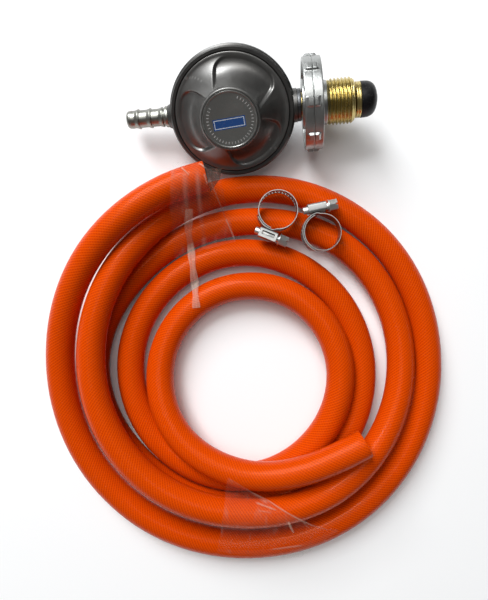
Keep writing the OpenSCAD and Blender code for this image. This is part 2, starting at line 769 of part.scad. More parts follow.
module clip_housing(r) {
    outer = r + band_t;
    worm_y = outer + band_t + 0.3 + worm_r;
    wall_y = outer + house_d;
    round = 1.6;
    difference() {
        translate([-house_l / 2, 0, 0]) rotate([90, 0, 90]) linear_extrude(house_l) union() {
            translate([outer - 1.2, 0]) square([house_d + 1.2 - round, band_w]);
            for (z = [round, band_w - round]) translate([wall_y - round, z]) circle(r = round);
            translate([wall_y - round - eps, round]) square([round + eps, band_w - 2 * round]);
        }
        translate([0, 0, -cut]) cylinder(r = outer + 0.15 + band_t + seat, h = band_w + 2 * cut);
        translate([0, worm_y, band_w / 2]) rotate([0, 90, 0])
            cylinder(r = worm_r + run, h = house_l + 2 * cut, center = true);
    }
}

module clip_screw(r) {
    worm_y = r + 2 * band_t + 0.3 + worm_r;
    head_x = house_l / 2 + screw_neck;
    color("whitesmoke") translate([0, worm_y, band_w / 2]) rotate([0, 90, 0]) difference() {
        union() {
            translate([0, 0, -house_l / 2 - 2.3]) cylinder(r = worm_r - 0.5, h = house_l + screw_neck + 2.3 + eps);
            translate([0, 0, 0.6 - house_l / 2]) cylinder(r = worm_r, h = house_l - 1.2);
            translate([0, 0, head_x - 0.5]) cylinder(r = screw_head[0] + 0.2, h = 0.5 + eps);
            translate([0, 0, head_x]) cylinder(r = screw_head[0], h = screw_head[1], $fn = 6);
        }
        translate([0, 0, head_x + screw_head[1]])
            cube([3 * screw_head[0], 0.9, 2.2], center = true);
    }
}

clip_a_turn = 158;
clip_b_turn = 12;

module clip_a_band() { color("gainsboro") on_clip(clip_a_at, clip_a_turn, true) clip_band(clip_a_r, 26); }
module clip_a_housing() { color("silver") on_clip(clip_a_at, clip_a_turn, true) clip_housing(clip_a_r); }
module clip_a_screw() { on_clip(clip_a_at, clip_a_turn, true) clip_screw(clip_a_r); }
module clip_b_band() { color("gainsboro") on_clip(clip_b_at, clip_b_turn) clip_band(clip_b_r, 112); }
module clip_b_housing() { color("silver") on_clip(clip_b_at, clip_b_turn) clip_housing(clip_b_r); }
module clip_b_screw() { on_clip(clip_b_at, clip_b_turn) clip_screw(clip_b_r); }

// ---- hose ----------------------------------------------------------------

// The hose lies in turns from its outer end inward. At every eighth of a turn it
// has a distance from the coil's middle and a lift over where it would lie flat.
first_bearing = 90;
station_step = 45;
hose_from = 101;
hose_to = 1769;
turn_stations = [
    [99.4, 22], [97.2, 22], [97, 6], [97, 0], [96.5, 0], [98.5, 0], [99, 0], [99.5, 0],
    [94.7, 0.1], [84.3, 13.7], [78, 15.5], [74.5, 16.5], [73, 17.2], [79.2, 11.7], [83.5, 4], [84, 0.5],
    [77.3, 0], [75.7, 0], [80, 0], [76.5, 0], [75.5, 0], [68.1, 0], [63.6, 0], [61.1, 0.4],
    [60.7, 0.5], [60.2, 0.5], [61, 0.5], [61, 0], [59.9, 1.5], [54.3, 7], [50.4, 8], [46.3, 5.5],
    [42.6, 2], [42, 0.5], [44.5, 3], [49, 9.5], [53.5, 16.5], [63, 21.7], [89, 20]
];

// A smooth curve through the stations, read at bearing t
function along_stations(t, part) =
    let (s = (t - first_bearing) / station_step, i = floor(s), f = s - i, n = len(turn_stations) - 1,
         a = turn_stations[max(i - 1, 0)][part], b = turn_stations[i][part],
         c = turn_stations[min(i + 1, n)][part], d = turn_stations[min(i + 2, n)][part])
    (2 * b + (c - a) * f + (2 * a - 5 * b + 4 * c - d) * f * f + (3 * b - a - 3 * c + d) * f * f * f) / 2;

function turn_r(t) = along_stations(t, 0);
function turn_z(t) = hose_r + max(0, along_stations(t, 1));
function hose_point(t) = [coil_at[0] + turn_r(t) * cos(t), coil_at[1] + turn_r(t) * sin(t), turn_z(t)];

loop_rings = 24;
ring_total = round((hose_to - hose_from) * loop_rings / 360);
hose_path = [for (i = [0 : ring_total]) hose_point(hose_from + (hose_to - hose_from) * i / ring_total)];

// Least gap between the hose and itself, in a later turn
hose_gap = min([for (t = [hose_from : 5 : hose_to - 340], turn = [1 : 4], near = [-10 : 5 : 10])
    let (other = t + 360 * turn + near)
    if (other <= hose_to) norm(hose_point(t) - hose_point(other)) - 2 * hose_r]);

module gas_hose() {
    echo(least_hose_gap = hose_gap);
    color("darkorange") tube(hose_path, hose_r, hose_bore_r, 6);
}

// ---- tape ----------------------------------------------------------------

// Height of tape pulled across the turns, over the coil's point at radius r and bearing a
bridge_r = 16;      // how wide the tape bends over a crown
past_end = 4;       // bearing by which it keeps its height past a cut end
function tape_z(r, a) = max([for (turn = [0 : 4])
    let (t = a + 360 * turn)
    t < hose_from - past_end || t > hose_to + past_end ? 1
        : turn_z(t) + hose_r + rest_gap - pow(r - turn_r(t), 2) / (2 * bridge_r)]);

// A strip of tape from radius r0 to r1, spanning the bearings a0 to a1
module tape(r0, r1, a0, a1, rows, cols) {
    spot = [for (i = [0 : rows], k = [0 : cols])
        let (r = r0 + (r1 - r0) * i / rows, a = a0 + (a1 - a0) * k / cols)
        [coil_at[0] + r * cos(a), coil_at[1] + r * sin(a), tape_z(r, a)]];
    count = len(spot);
    wide = cols + 1;
    sheet = [for (i = [0 : rows - 1], k = [0 : cols - 1], half = [0, 1])
        let (p = i * wide + k) half == 0 ? [p, p + 1, p + wide] : [p + 1, p + wide + 1, p + wide]];
    border = concat(
        [for (k = [0 : cols - 1]) [k, k + 1]],
        [for (i = [0 : rows - 1]) [i * wide + cols, (i + 1) * wide + cols]],
        [for (k = [cols : -1 : 1]) [rows * wide + k, rows * wide + k - 1]],
        [for (i = [rows : -1 : 1]) [i * wide, (i - 1) * wide]]);
    polyhedron(
        concat(spot, [for (p = spot) p + [0, 0, tape_t]]),
        concat(sheet,
            [for (f = sheet) [f[0] + count, f[2] + count, f[1] + count]],
            [for (e = border) [e[0], e[0] + count, e[1]]],
            [for (e = border) [e[1], e[0] + count, e[1] + count]]));
}

module tape_upper() { color("peachpuff") tape(38, 104, 100, 118, 16, 6); }
module tape_lower() { color("peachpuff") tape(47, 100, 268, 296, 14, 8); }

// ---- the set -------------------------------------------------------------

lower_body();
hose_tail();
cover();
label_disc();
adjusting_nut();
main_spring();
diaphragm();
diaphragm_plate();
pull_stem();
lever();
lever_pin();
valve_plunger();
valve_pad();
inlet_jet();
inlet_nipple();
inlet_filter();
nose_seal();
neck_ring();
handwheel();
union_nut();
clip_a_band();
clip_a_housing();
clip_a_screw();
clip_b_band();
clip_b_housing();
clip_b_screw();
gas_hose();
tape_upper();
tape_lower();
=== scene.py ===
"""Finishes and fine detail for a cylinder regulator set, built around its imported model.

Lengths in the tables below are in millimetres unless a name says otherwise.
The regulator has a frame of its own: its gas line is X, and its cover faces Z.
"""
import json
import math
from functools import partial

import bmesh
import bpy
from mathutils import Matrix, Vector, noise


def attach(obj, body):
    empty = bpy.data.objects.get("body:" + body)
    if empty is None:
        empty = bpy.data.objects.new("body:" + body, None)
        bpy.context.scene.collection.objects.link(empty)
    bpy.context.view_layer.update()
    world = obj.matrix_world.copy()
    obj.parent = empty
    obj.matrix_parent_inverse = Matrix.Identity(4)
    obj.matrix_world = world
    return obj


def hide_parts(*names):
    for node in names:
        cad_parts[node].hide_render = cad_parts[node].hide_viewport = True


bl_info = {
    "name": "Cylinder Regulator Set",
    "version": (1, 0, 0),
    "blender": (4, 5, 0),
    "location": "View3D > Sidebar > Regulator",
    "description": "Dresses a gas regulator, its coil of hose, its tapes and its clips",
    "category": "Object",
}

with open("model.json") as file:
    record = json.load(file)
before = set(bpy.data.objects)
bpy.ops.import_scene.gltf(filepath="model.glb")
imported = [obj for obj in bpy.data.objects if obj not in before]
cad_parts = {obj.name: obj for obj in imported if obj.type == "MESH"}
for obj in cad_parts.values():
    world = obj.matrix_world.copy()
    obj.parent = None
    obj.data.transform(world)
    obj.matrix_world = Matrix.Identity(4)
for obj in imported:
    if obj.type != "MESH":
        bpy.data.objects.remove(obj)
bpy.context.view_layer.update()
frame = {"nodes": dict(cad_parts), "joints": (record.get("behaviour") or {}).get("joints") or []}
MM = 0.001
UP = Vector((0, 0, 1))


# ---- places --------------------------------------------------------------

def joint(name):
    return next(j for j in frame["joints"] if j["name"] == name)


def regulator_frame():
    """Where the regulator's own frame lies: on the crossing of its two axes."""
    line, cap = joint("handwheel_spin"), joint("adjuster_turn")
    x, z = Vector(line["axis"]).normalized(), Vector(cap["axis"]).normalized()
    on_line, on_cap = Vector(line["pos_m"]), Vector(cap["pos_m"])
    place = Matrix((x, z.cross(x), z)).transposed().to_4x4()
    place.translation = on_line - x * (on_line - on_cap).dot(x)
    return place


REGULATOR = regulator_frame()
SURFACE_Z = 0.0

# The hose's route: at every eighth of a turn, its distance from the coil's
# middle and its lift over where it would lie flat
COIL_AT = (-2.6, -109.9)
HOSE_FROM, HOSE_TO = 101, 1769
FIRST_BEARING, STATION_STEP = 90, 45
STATIONS = [
    (99.4, 22), (97.2, 22), (97.0, 6), (97.0, 0), (96.5, 0), (98.5, 0), (99.0, 0), (99.5, 0),
    (94.7, 0.1), (84.3, 13.7), (78.0, 15.5), (74.5, 16.5), (73.0, 17.2), (79.2, 11.7), (83.5, 4), (84.0, 0.5),
    (77.3, 0), (75.7, 0), (80.0, 0), (76.5, 0), (75.5, 0), (68.1, 0), (63.6, 0), (61.1, 0.4),
    (60.7, 0.5), (60.2, 0.5), (61.0, 0.5), (61.0, 0), (59.9, 1.5), (54.3, 7), (50.4, 8), (46.3, 5.5),
    (42.6, 2), (42.0, 0.5), (44.5, 3), (49.0, 9.5), (53.5, 16.5), (63.0, 21.7), (89.0, 20)]
HOSE_R, HOSE_BRAID_R, HOSE_BORE_R = 7.3, 5.7, 4.0


def on_route(bearing, part):
    """A smooth curve through the stations: their distance (part 0) or lift (part 1)."""
    s = (bearing - FIRST_BEARING) / STATION_STEP
    i = math.floor(s)
    f = s - i
    a, b, c, d = (STATIONS[min(max(k, 0), len(STATIONS) - 1)][part] for k in range(i - 1, i + 3))
    return (2 * b + (c - a) * f + (2 * a - 5 * b + 4 * c - d) * f * f
            + (3 * b - a - 3 * c + d) * f ** 3) / 2


def hose_point(bearing):
    r, z = on_route(bearing, 0), HOSE_R + max(0, on_route(bearing, 1))
    turn = math.radians(bearing)
    return Vector((COIL_AT[0] + r * math.cos(turn), COIL_AT[1] + r * math.sin(turn), z))


def hose_route(step=3.0):
    count = round((HOSE_TO - HOSE_FROM) / step)
    return [hose_point(HOSE_FROM + (HOSE_TO - HOSE_FROM) * i / count) for i in range(count + 1)]


# ---- sizes and colours that a user would change --------------------------

class StageSettings(bpy.types.PropertyGroup):
    camera_height: bpy.props.FloatProperty(
        name="Camera Height", description="Height of the lens over the surface",
        default=0.2885, min=0.1, unit="LENGTH")
    key_power: bpy.props.FloatProperty(
        name="Key Power", description="Power of the window-like lamp behind the set", default=42.0, min=0)
    overhead: bpy.props.FloatProperty(
        name="Overhead", description="Power of the broad lamp overhead, as a share of the key power",
        default=0.4, min=0)
    room_level: bpy.props.FloatProperty(
        name="Room Level", description="Strength of the light from all round", default=0.45, min=0)
    floor_colour: bpy.props.FloatVectorProperty(
        name="Surface Colour", description="Colour of the surface that the set lies on",
        subtype="COLOR", size=4, min=0, max=1, default=(0.97, 0.97, 0.97, 1))


class HoseSettings(bpy.types.PropertyGroup):
    colour: bpy.props.FloatVectorProperty(
        name="Hose Colour", description="Colour of the hose's outer layer",
        subtype="COLOR", size=4, min=0, max=1, default=(0.68, 0.062, 0.0004, 1))
    braid_pitch: bpy.props.FloatProperty(
        name="Braid Pitch", description="Distance along the hose from one braid yarn to the next",
        default=0.0016, min=0.0005, unit="LENGTH")
    braid_yarns: bpy.props.IntProperty(
        name="Braid Yarns", description="Yarns round the hose, each way", default=22, min=4)
    sides: bpy.props.IntProperty(
        name="Sides", description="Faces round the hose", default=32, min=8)


class TapeSettings(bpy.types.PropertyGroup):
    thickness: bpy.props.FloatProperty(
        name="Tape Thickness", description="Thickness of the film",
        default=0.00012, min=0.00002, unit="LENGTH")
    haze: bpy.props.FloatProperty(
        name="Haze", description="How much the film hides what lies under it",
        default=0.015, min=0, max=1, subtype="FACTOR")


class MetalSettings(bpy.types.PropertyGroup):
    enamel: bpy.props.FloatVectorProperty(
        name="Enamel", description="Colour of the regulator's metallic enamel",
        subtype="COLOR", size=4, min=0, max=1, default=(0.2, 0.197, 0.19, 1))
    brass: bpy.props.FloatVectorProperty(
        name="Brass", description="Colour of the machined brass",
        subtype="COLOR", size=4, min=0, max=1, default=(0.62, 0.5, 0.2, 1))
    zinc: bpy.props.FloatVectorProperty(
        name="Zinc", description="Colour of the cast and plated zinc",
        subtype="COLOR", size=4, min=0, max=1, default=(0.42, 0.43, 0.42, 1))
    band: bpy.props.FloatVectorProperty(
        name="Clip Steel", description="Colour of the clips' plated strip and housing",
        subtype="COLOR", size=4, min=0, max=1, default=(0.88, 0.88, 0.86, 1))


class DiscSettings(bpy.types.PropertyGroup):
    face: bpy.props.FloatVectorProperty(
        name="Disc Face", description="Colour of the disc's metallic face",
        subtype="COLOR", size=4, min=0, max=1, default=(0.27, 0.27, 0.255, 1))
    patch: bpy.props.FloatVectorProperty(
        name="Patch", description="Colour of the plain patch on the disc",
        subtype="COLOR", size=4, min=0, max=1, default=(0.012, 0.06, 0.22, 1))
    ticks: bpy.props.IntProperty(
        name="Ticks", description="Ticks round the disc's edge", default=44, min=0)


SETTINGS = {
    "regset_stage": StageSettings, "regset_hose": HoseSettings, "regset_tape": TapeSettings,
    "regset_metal": MetalSettings, "regset_disc": DiscSettings,
}


# ---- mesh helpers --------------------------------------------------------

def linked(name, verts, faces, material, uvs=None, sharp=math.radians(40)):
    """A new object from points in metres, with smooth faces between its sharp edges."""
    mesh = bpy.data.meshes.new(name)
    mesh.from_pydata([tuple(v) for v in verts], [], faces)
    mesh.polygons.foreach_set("use_smooth", [True] * len(mesh.polygons))
    mesh.set_sharp_from_angle(angle=sharp)
    if uvs:
        layer = mesh.uv_layers.new(name="Surface")
        corners = [c for face in uvs for pair in face for c in pair]
        layer.data.foreach_set("uv", corners)
    mesh.materials.append(material)
    mesh.validate()
    obj = bpy.data.objects.new(name, mesh)
    bpy.context.scene.collection.objects.link(obj)
    return obj


def eased(profile, radius, steps=3):
    """A closed outline with its corners rounded by up to radius."""
    points = [Vector(p) for p in profile]
    out = []
    for i, corner in enumerate(points):
        before, after = points[i - 1] - corner, points[(i + 1) % len(points)] - corner
        if abs(corner[1]) < 1e-6 or before.length < 1e-6 or after.length < 1e-6:
            out.append(corner)
            continue
        reach = min(radius, before.length * 0.45, after.length * 0.45)
        a, b = corner + before.normalized() * reach, corner + after.normalized() * reach
        for k in range(steps + 1):
            f = k / steps
            out.append(a * (1 - f) ** 2 + corner * 2 * f * (1 - f) + b * f * f)
    return out


def turned_rows(profile, sides, axis):
    """Rings of points for a closed outline of (along, radius) pairs, turned round an axis."""
    rows = []
    for along, radius in profile:
        ring = []
        for k in range(sides):
            turn = 2 * math.pi * k / sides
            c, s = radius * math.cos(turn), radius * math.sin(turn)
            local = (along, s, c) if axis == "X" else (c, s, along)
            ring.append(REGULATOR @ (Vector(local) * MM))
        rows.append(ring)
    return rows


def turned(name, profile, material, axis="X", sides=128, sharp=40):
    """A closed body turned round the regulator's X or Z axis."""
    rows = turned_rows(profile, sides, axis)
    verts = [p for row in rows for p in row]
    count = len(rows)
    faces = []
    for i in range(count):
        for k in range(sides):
            a, b = i * sides + k, i * sides + (k + 1) % sides
            c, d = ((i + 1) % count) * sides + (k + 1) % sides, ((i + 1) % count) * sides + k
            faces.append((a, b, c, d))
    obj = linked(name, verts, faces, material, sharp=math.radians(sharp))
    tidy(obj)
    return obj


def tidy(obj, distance=1e-6):
    """Merges doubled points and turns every face outwards."""
    bm = bmesh.new()
    bm.from_mesh(obj.data)
    bmesh.ops.remove_doubles(bm, verts=bm.verts, dist=distance)
    bmesh.ops.dissolve_degenerate(bm, edges=bm.edges, dist=distance)
    bmesh.ops.recalc_face_normals(bm, faces=bm.faces)
    bm.to_mesh(obj.data)
    bm.free()
    obj.data.update()


def keep(obj, body, slot, *nodes):
    """Puts a piece on the body it rides on and hides the solids that it stands for. The slot is not used."""
    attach(obj, body)
    if nodes:
        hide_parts(*nodes)
    return obj


def thickened(verts, faces, offsets):
    """A sheet's points and faces, closed by a second layer and a wall round every edge."""
    count = len(verts)
    sides = {}
    for face in faces:
        for a, b in zip(face, face[1:] + face[:1]):
            sides[(a, b)] = (b, a) not in sides
            if (b, a) in sides:
                sides[(b, a)] = False
    walls = [(b, a, a + count, b + count) for (a, b), free in sides.items() if free]
    under = [tuple(i + count for i in reversed(face)) for face in faces]
    return verts + [v + o for v, o in zip(verts, offsets)], faces + under + walls


def settled(obj, modifier):
    """Keeps what an object's one modifier makes as its plain mesh."""
    bpy.context.view_layer.update()
    mesh = bpy.data.meshes.new_from_object(obj.evaluated_get(bpy.context.evaluated_depsgraph_get()))
    obj.modifiers.remove(modifier)
    obj.data = mesh
    return mesh


def softened(name, node, width, material):
    """A copy of a solid with its doubled points merged and its edges rounded over."""
    bm = bmesh.new()
    bm.from_mesh(frame["nodes"][node].data)
    bmesh.ops.remove_doubles(bm, verts=bm.verts, dist=1e-6)
    bmesh.ops.dissolve_limit(bm, angle_limit=math.radians(1), verts=bm.verts, edges=bm.edges)
    mesh = bpy.data.meshes.new(name)
    bm.to_mesh(mesh)
    bm.free()
    obj = bpy.data.objects.new(name, mesh)
    bpy.context.scene.collection.objects.link(obj)
    bevel = obj.modifiers.new("Rounded Edges", "BEVEL")
    bevel.width = width * MM
    bevel.segments = 2
    bevel.limit_method = "ANGLE"
    bevel.angle_limit = math.radians(35)
    rounded = settled(obj, bevel)
    rounded.materials.clear()
    rounded.materials.append(material)
    rounded.polygons.foreach_set("material_index", [0] * len(rounded.polygons))
    rounded.polygons.foreach_set("use_smooth", [True] * len(rounded.polygons))
    rounded.set_sharp_from_angle(angle=math.radians(45))
    return obj


# ---- shader helpers ------------------------------------------------------

def add(tree, kind, inputs=None, **settings):
    """One node, its settings, and its inputs as values or as sockets to link from."""
    node = tree.nodes.new(kind)
    for key, value in settings.items():
        setattr(node, key, value)
    for key, value in (inputs or {}).items():
        if isinstance(value, bpy.types.NodeSocket):
            tree.links.new(value, node.inputs[key])
        else:
            node.inputs[key].default_value = value
    return node


def maths(tree, operation, a, b=0.0, clamp=False):
    """One sum on values, in a shader tree or a geometry tree."""
    node = add(tree, "ShaderNodeMath", {0: a, 1: b}, operation=operation, use_clamp=clamp)
    return node.outputs[0]


def ramp(tree, value, stops):
    """Maps a value through (position, grey) or (position, colour) stops."""
    node = add(tree, "ShaderNodeValToRGB", {"Fac": value})
    points = node.color_ramp.elements
    while len(points) < len(stops):
        points.new(0.5)
    for point, (place, colour) in zip(points, stops):
        point.position = place
        point.color = colour if hasattr(colour, "__len__") else (colour, colour, colour, 1)
    return node.outputs["Color"]


# Mix nodes have one set of sockets for each data type, so colours go by number
def mix_colour(tree, factor, a, b):
    node = tree.nodes.new("ShaderNodeMix")
    node.data_type = "RGBA"
    for index, value in ((0, factor), (6, a), (7, b)):
        if isinstance(value, bpy.types.NodeSocket):
            tree.links.new(value, node.inputs[index])
        else:
            node.inputs[index].default_value = value
    return node.outputs[2]


def group(name, inputs, outputs):
    """A new shader group with named sockets. Gives its tree, its inputs and its output node."""
    tree = bpy.data.node_groups.get(name)
    if tree:
        bpy.data.node_groups.remove(tree)
    tree = bpy.data.node_groups.new(name, "ShaderNodeTree")
    for label, value in inputs.items():
        socket = tree.interface.new_socket(name=label, in_out="INPUT", socket_type="NodeSocketFloat")
        socket.default_value = value
    for label in outputs:
        tree.interface.new_socket(name=label, in_out="OUTPUT", socket_type="NodeSocketFloat")
    return tree, tree.nodes.new("NodeGroupInput").outputs, tree.nodes.new("NodeGroupOutput").inputs


def fine_grain_group():
    """Small-scale unevenness: a speckle for roughness, and a height for bump."""
    tree, given, out = group("Fine Grain", {"Scale": 900.0, "Contrast": 1.0}, ("Speckle", "Height"))
    place = add(tree, "ShaderNodeTexCoord").outputs["Object"]
    fine = add(tree, "ShaderNodeTexNoise", {"Vector": place, "Scale": given["Scale"], "Detail": 3.0})
    wide = maths(tree, "MULTIPLY", given["Scale"], 0.07)
    broad = add(tree, "ShaderNodeTexNoise", {"Vector": place, "Scale": wide, "Detail": 4.0, "Roughness": 0.6})
    both = maths(tree, "ADD", maths(tree, "MULTIPLY", fine.outputs["Fac"], 0.45),
                 maths(tree, "MULTIPLY", broad.outputs["Fac"], 0.55))
    centred = maths(tree, "MULTIPLY", maths(tree, "SUBTRACT", both, 0.5), given["Contrast"])
    tree.links.new(maths(tree, "ADD", centred, 0.5, clamp=True), out["Speckle"])
    tree.links.new(fine.outputs["Fac"], out["Height"])
    return tree


def edge_wear_group():
    """Where a raised edge has rubbed bright, broken up by noise."""
    tree, given, out = group("Edge Wear", {"Amount": 0.5, "Scale": 300.0}, ("Mask",))
    sharp = add(tree, "ShaderNodeNewGeometry").outputs["Pointiness"]
    raised = add(tree, "ShaderNodeMapRange", {"Value": sharp, "From Min": 0.51, "From Max": 0.57})
    place = add(tree, "ShaderNodeTexCoord").outputs["Object"]
    patchy = add(tree, "ShaderNodeTexNoise", {"Vector": place, "Scale": given["Scale"], "Detail": 5.0})
    worn = maths(tree, "MULTIPLY", raised.outputs["Result"], patchy.outputs["Fac"])
    tree.links.new(maths(tree, "MULTIPLY", worn, given["Amount"], clamp=True), out["Mask"])
    return tree


def handling_group():
    """Smears and dust: a soft, patchy mask that is stronger on faces that look up."""
    tree, given, out = group("Handling", {"Amount": 0.3, "Scale": 60.0}, ("Smear", "Dust"))
    place = add(tree, "ShaderNodeTexCoord").outputs["Object"]
    cloud = add(tree, "ShaderNodeTexNoise", {
        "Vector": place, "Scale": given["Scale"], "Detail": 6.0, "Roughness": 0.65, "Distortion": 0.8})
    patch = add(tree, "ShaderNodeMapRange", {
        "Value": cloud.outputs["Fac"], "From Min": 0.48, "From Max": 0.72})
    smear = maths(tree, "MULTIPLY", patch.outputs["Result"], given["Amount"], clamp=True)
    tree.links.new(smear, out["Smear"])
    normal = add(tree, "ShaderNodeSeparateXYZ", {0: add(tree, "ShaderNodeNewGeometry").outputs["Normal"]})
    upward = maths(tree, "MAXIMUM", normal.outputs["Z"], 0.0)
    speck = add(tree, "ShaderNodeTexNoise", {"Vector": place, "Scale": 2600.0, "Detail": 2.0})
    fine = add(tree, "ShaderNodeMapRange", {
        "Value": speck.outputs["Fac"], "From Min": 0.66, "From Max": 0.74})
    lying = maths(tree, "MULTIPLY", upward, fine.outputs["Result"])
    tree.links.new(maths(tree, "MULTIPLY", lying, given["Amount"], clamp=True), out["Dust"])
    return tree


def effect(tree, name, builder, **inputs):
    """Places a shared group in a material, with that material's own values."""
    shared = bpy.data.node_groups.get(name) or builder()
    node = tree.nodes.new("ShaderNodeGroup")
    node.node_tree = shared
    for key, value in inputs.items():
        node.inputs[key].default_value = value
    return node.outputs


def blank(name):
    """A fresh material with a Principled shader: gives the material, its tree and the shader."""
    mat = bpy.data.materials.get(name)
    if mat:
        bpy.data.materials.remove(mat)
    mat = bpy.data.materials.new(name)
    mat.use_nodes = True
    tree = mat.node_tree
    return mat, tree, tree.nodes["Principled BSDF"]


def feed(tree, shader, **sockets):
    """Links or sets the shader's sockets; underscores stand for the spaces in their names."""
    for key, value in sockets.items():
        socket = shader.inputs[key.replace("_", " ")]
        if isinstance(value, bpy.types.NodeSocket):
            tree.links.new(value, socket)
        else:
            socket.default_value = value


def bumped(tree, height, distance, strength=1.0):
    bump = add(tree, "ShaderNodeBump", {"Height": height, "Distance": distance, "Strength": strength})
    return bump.outputs["Normal"]


def shaded(colour, share):
    """A colour made darker or lighter by a share, and opaque."""
    return tuple(c * share for c in colour[:3]) + (1,)


# ---- finishes ------------------------------------------------------------

def metal(name, colour, rough, grain=900.0, wear=0.3, smear=0.25, bump=0.000012, dark=0.62):
    """Bare or plated metal: grain, rubbed edges and smears."""
    mat, tree, shader = blank(name)
    speck = effect(tree, "Fine Grain", fine_grain_group, Scale=grain, Contrast=1.1)
    worn = effect(tree, "Edge Wear", edge_wear_group, Amount=wear, Scale=grain * 0.4)
    marks = effect(tree, "Handling", handling_group, Amount=smear, Scale=55.0)
    bright = tuple(min(1, c * 1.25 + 0.04) for c in colour[:3]) + (1,)
    base = mix_colour(tree, marks["Smear"], colour, shaded(colour, dark))
    base = mix_colour(tree, worn["Mask"], base, bright)
    texture = ramp(tree, speck["Speckle"], [(0.3, rough * 0.72), (0.7, min(1, rough * 1.35))])
    soft = maths(tree, "ADD", texture, maths(tree, "MULTIPLY", marks["Smear"], 0.18), clamp=True)
    feed(tree, shader, Base_Color=base, Metallic=1.0, Roughness=soft,
         Normal=bumped(tree, speck["Height"], bump))
    return mat


def enamel(name, colour, wear=0.45):
    """Metallic enamel: fine flake in a smooth coat, with faint flow marks."""
    mat, tree, shader = blank(name)
    flake = effect(tree, "Fine Grain", fine_grain_group, Scale=2400.0, Contrast=1.6)
    worn = effect(tree, "Edge Wear", edge_wear_group, Amount=wear, Scale=260.0)
    marks = effect(tree, "Handling", handling_group, Amount=0.35, Scale=34.0)
    smeared, rubbed = (0.3, 0.28, 0.26, 1), (0.62, 0.61, 0.58, 1)
    base = mix_colour(tree, flake["Speckle"], shaded(colour, 0.8), colour)
    base = mix_colour(tree, maths(tree, "MULTIPLY", marks["Smear"], 0.5), base, smeared)
    base = mix_colour(tree, worn["Mask"], base, rubbed)
    rough = ramp(tree, flake["Speckle"], [(0.25, 0.34), (0.75, 0.46)])
    rough = maths(tree, "ADD", rough, maths(tree, "MULTIPLY", marks["Dust"], 0.5), clamp=True)
    feed(tree, shader, Base_Color=base, Metallic=0.9, Roughness=rough, Coat_Weight=0.2, Coat_Roughness=0.16,
         Normal=bumped(tree, flake["Height"], 0.00001))
    return mat


def rubber(name, colour, rough):
    """Moulded rubber with pale smears and a little dust."""
    mat, tree, shader = blank(name)
    speck = effect(tree, "Fine Grain", fine_grain_group, Scale=700.0, Contrast=1.0)
    marks = effect(tree, "Handling", handling_group, Amount=0.4, Scale=80.0)
    pale = tuple(min(1, c + 0.06) for c in colour[:3]) + (1,)
    base = mix_colour(tree, marks["Smear"], colour, pale)
    base = mix_colour(tree, marks["Dust"], base, (0.35, 0.33, 0.3, 1))
    texture = ramp(tree, speck["Speckle"], [(0.3, rough * 0.8), (0.7, rough * 1.3)])
    feed(tree, shader, Base_Color=base, Roughness=texture, Specular_IOR_Level=0.25,
         Normal=bumped(tree, speck["Height"], 0.00002))
    return mat


def hose_finish(name, settings):
    """Orange plastic over two crossing sets of yarns, laid by the hose's own UV map."""
    mat, tree, shader = blank(name)
    laid = add(tree, "ShaderNodeUVMap", uv_map="Surface")
    place = add(tree, "ShaderNodeSeparateXYZ", {0: laid.outputs["UV"]})
    along = maths(tree, "DIVIDE", place.outputs["X"], settings.braid_pitch * settings.braid_yarns)
    around = place.outputs["Y"]
    yarns = []
    for hand in (1.0, -1.0):
        phase = maths(tree, "ADD", maths(tree, "MULTIPLY", around, hand), along)
        wave = maths(tree, "SINE", maths(tree, "MULTIPLY", phase, 2 * math.pi * settings.braid_yarns))
        yarn = add(tree, "ShaderNodeMapRange", {"Value": wave, "From Min": -0.2, "From Max": 0.9},
                   interpolation_type="SMOOTHSTEP")
        yarns.append(yarn.outputs["Result"])
    # The yarns of one hand show more than those that cross them
    crossing = maths(tree, "MAXIMUM", yarns[0], maths(tree, "MULTIPLY", yarns[1], 0.45))
    marks = effect(tree, "Handling", handling_group, Amount=0.3, Scale=45.0)
    speck = effect(tree, "Fine Grain", fine_grain_group, Scale=500.0, Contrast=1.2)
    colour = tuple(settings.colour)
    # The braid's pattern, with a lit copy of the colour on the yarns and a shaded copy between them: painted
    # light and painted shade on the braid's relief
    deep = (colour[0] * 0.8, colour[1] * 0.6, colour[2], 1)
    lit = (min(1, colour[0] * 1.1), colour[1] * 1.3, colour[2], 1)
    base = mix_colour(tree, crossing, deep, lit)
    base = mix_colour(tree, maths(tree, "MULTIPLY", speck["Speckle"], 0.35), base, colour)
    base = mix_colour(tree, maths(tree, "MULTIPLY", marks["Dust"], 0.6), base, (0.9, 0.5, 0.3, 1))
    rough = maths(tree, "ADD", 0.27, maths(tree, "MULTIPLY", marks["Smear"], 0.5), clamp=True)
    feed(tree, shader, Base_Color=base, Roughness=rough, Coat_Weight=0.05, Coat_Roughness=0.08,
         Specular_IOR_Level=0.16, Specular_Tint=(1.0, 0.36, 0.1, 1),
         Normal=bumped(tree, crossing, 0.00007, 0.5))
    return mat


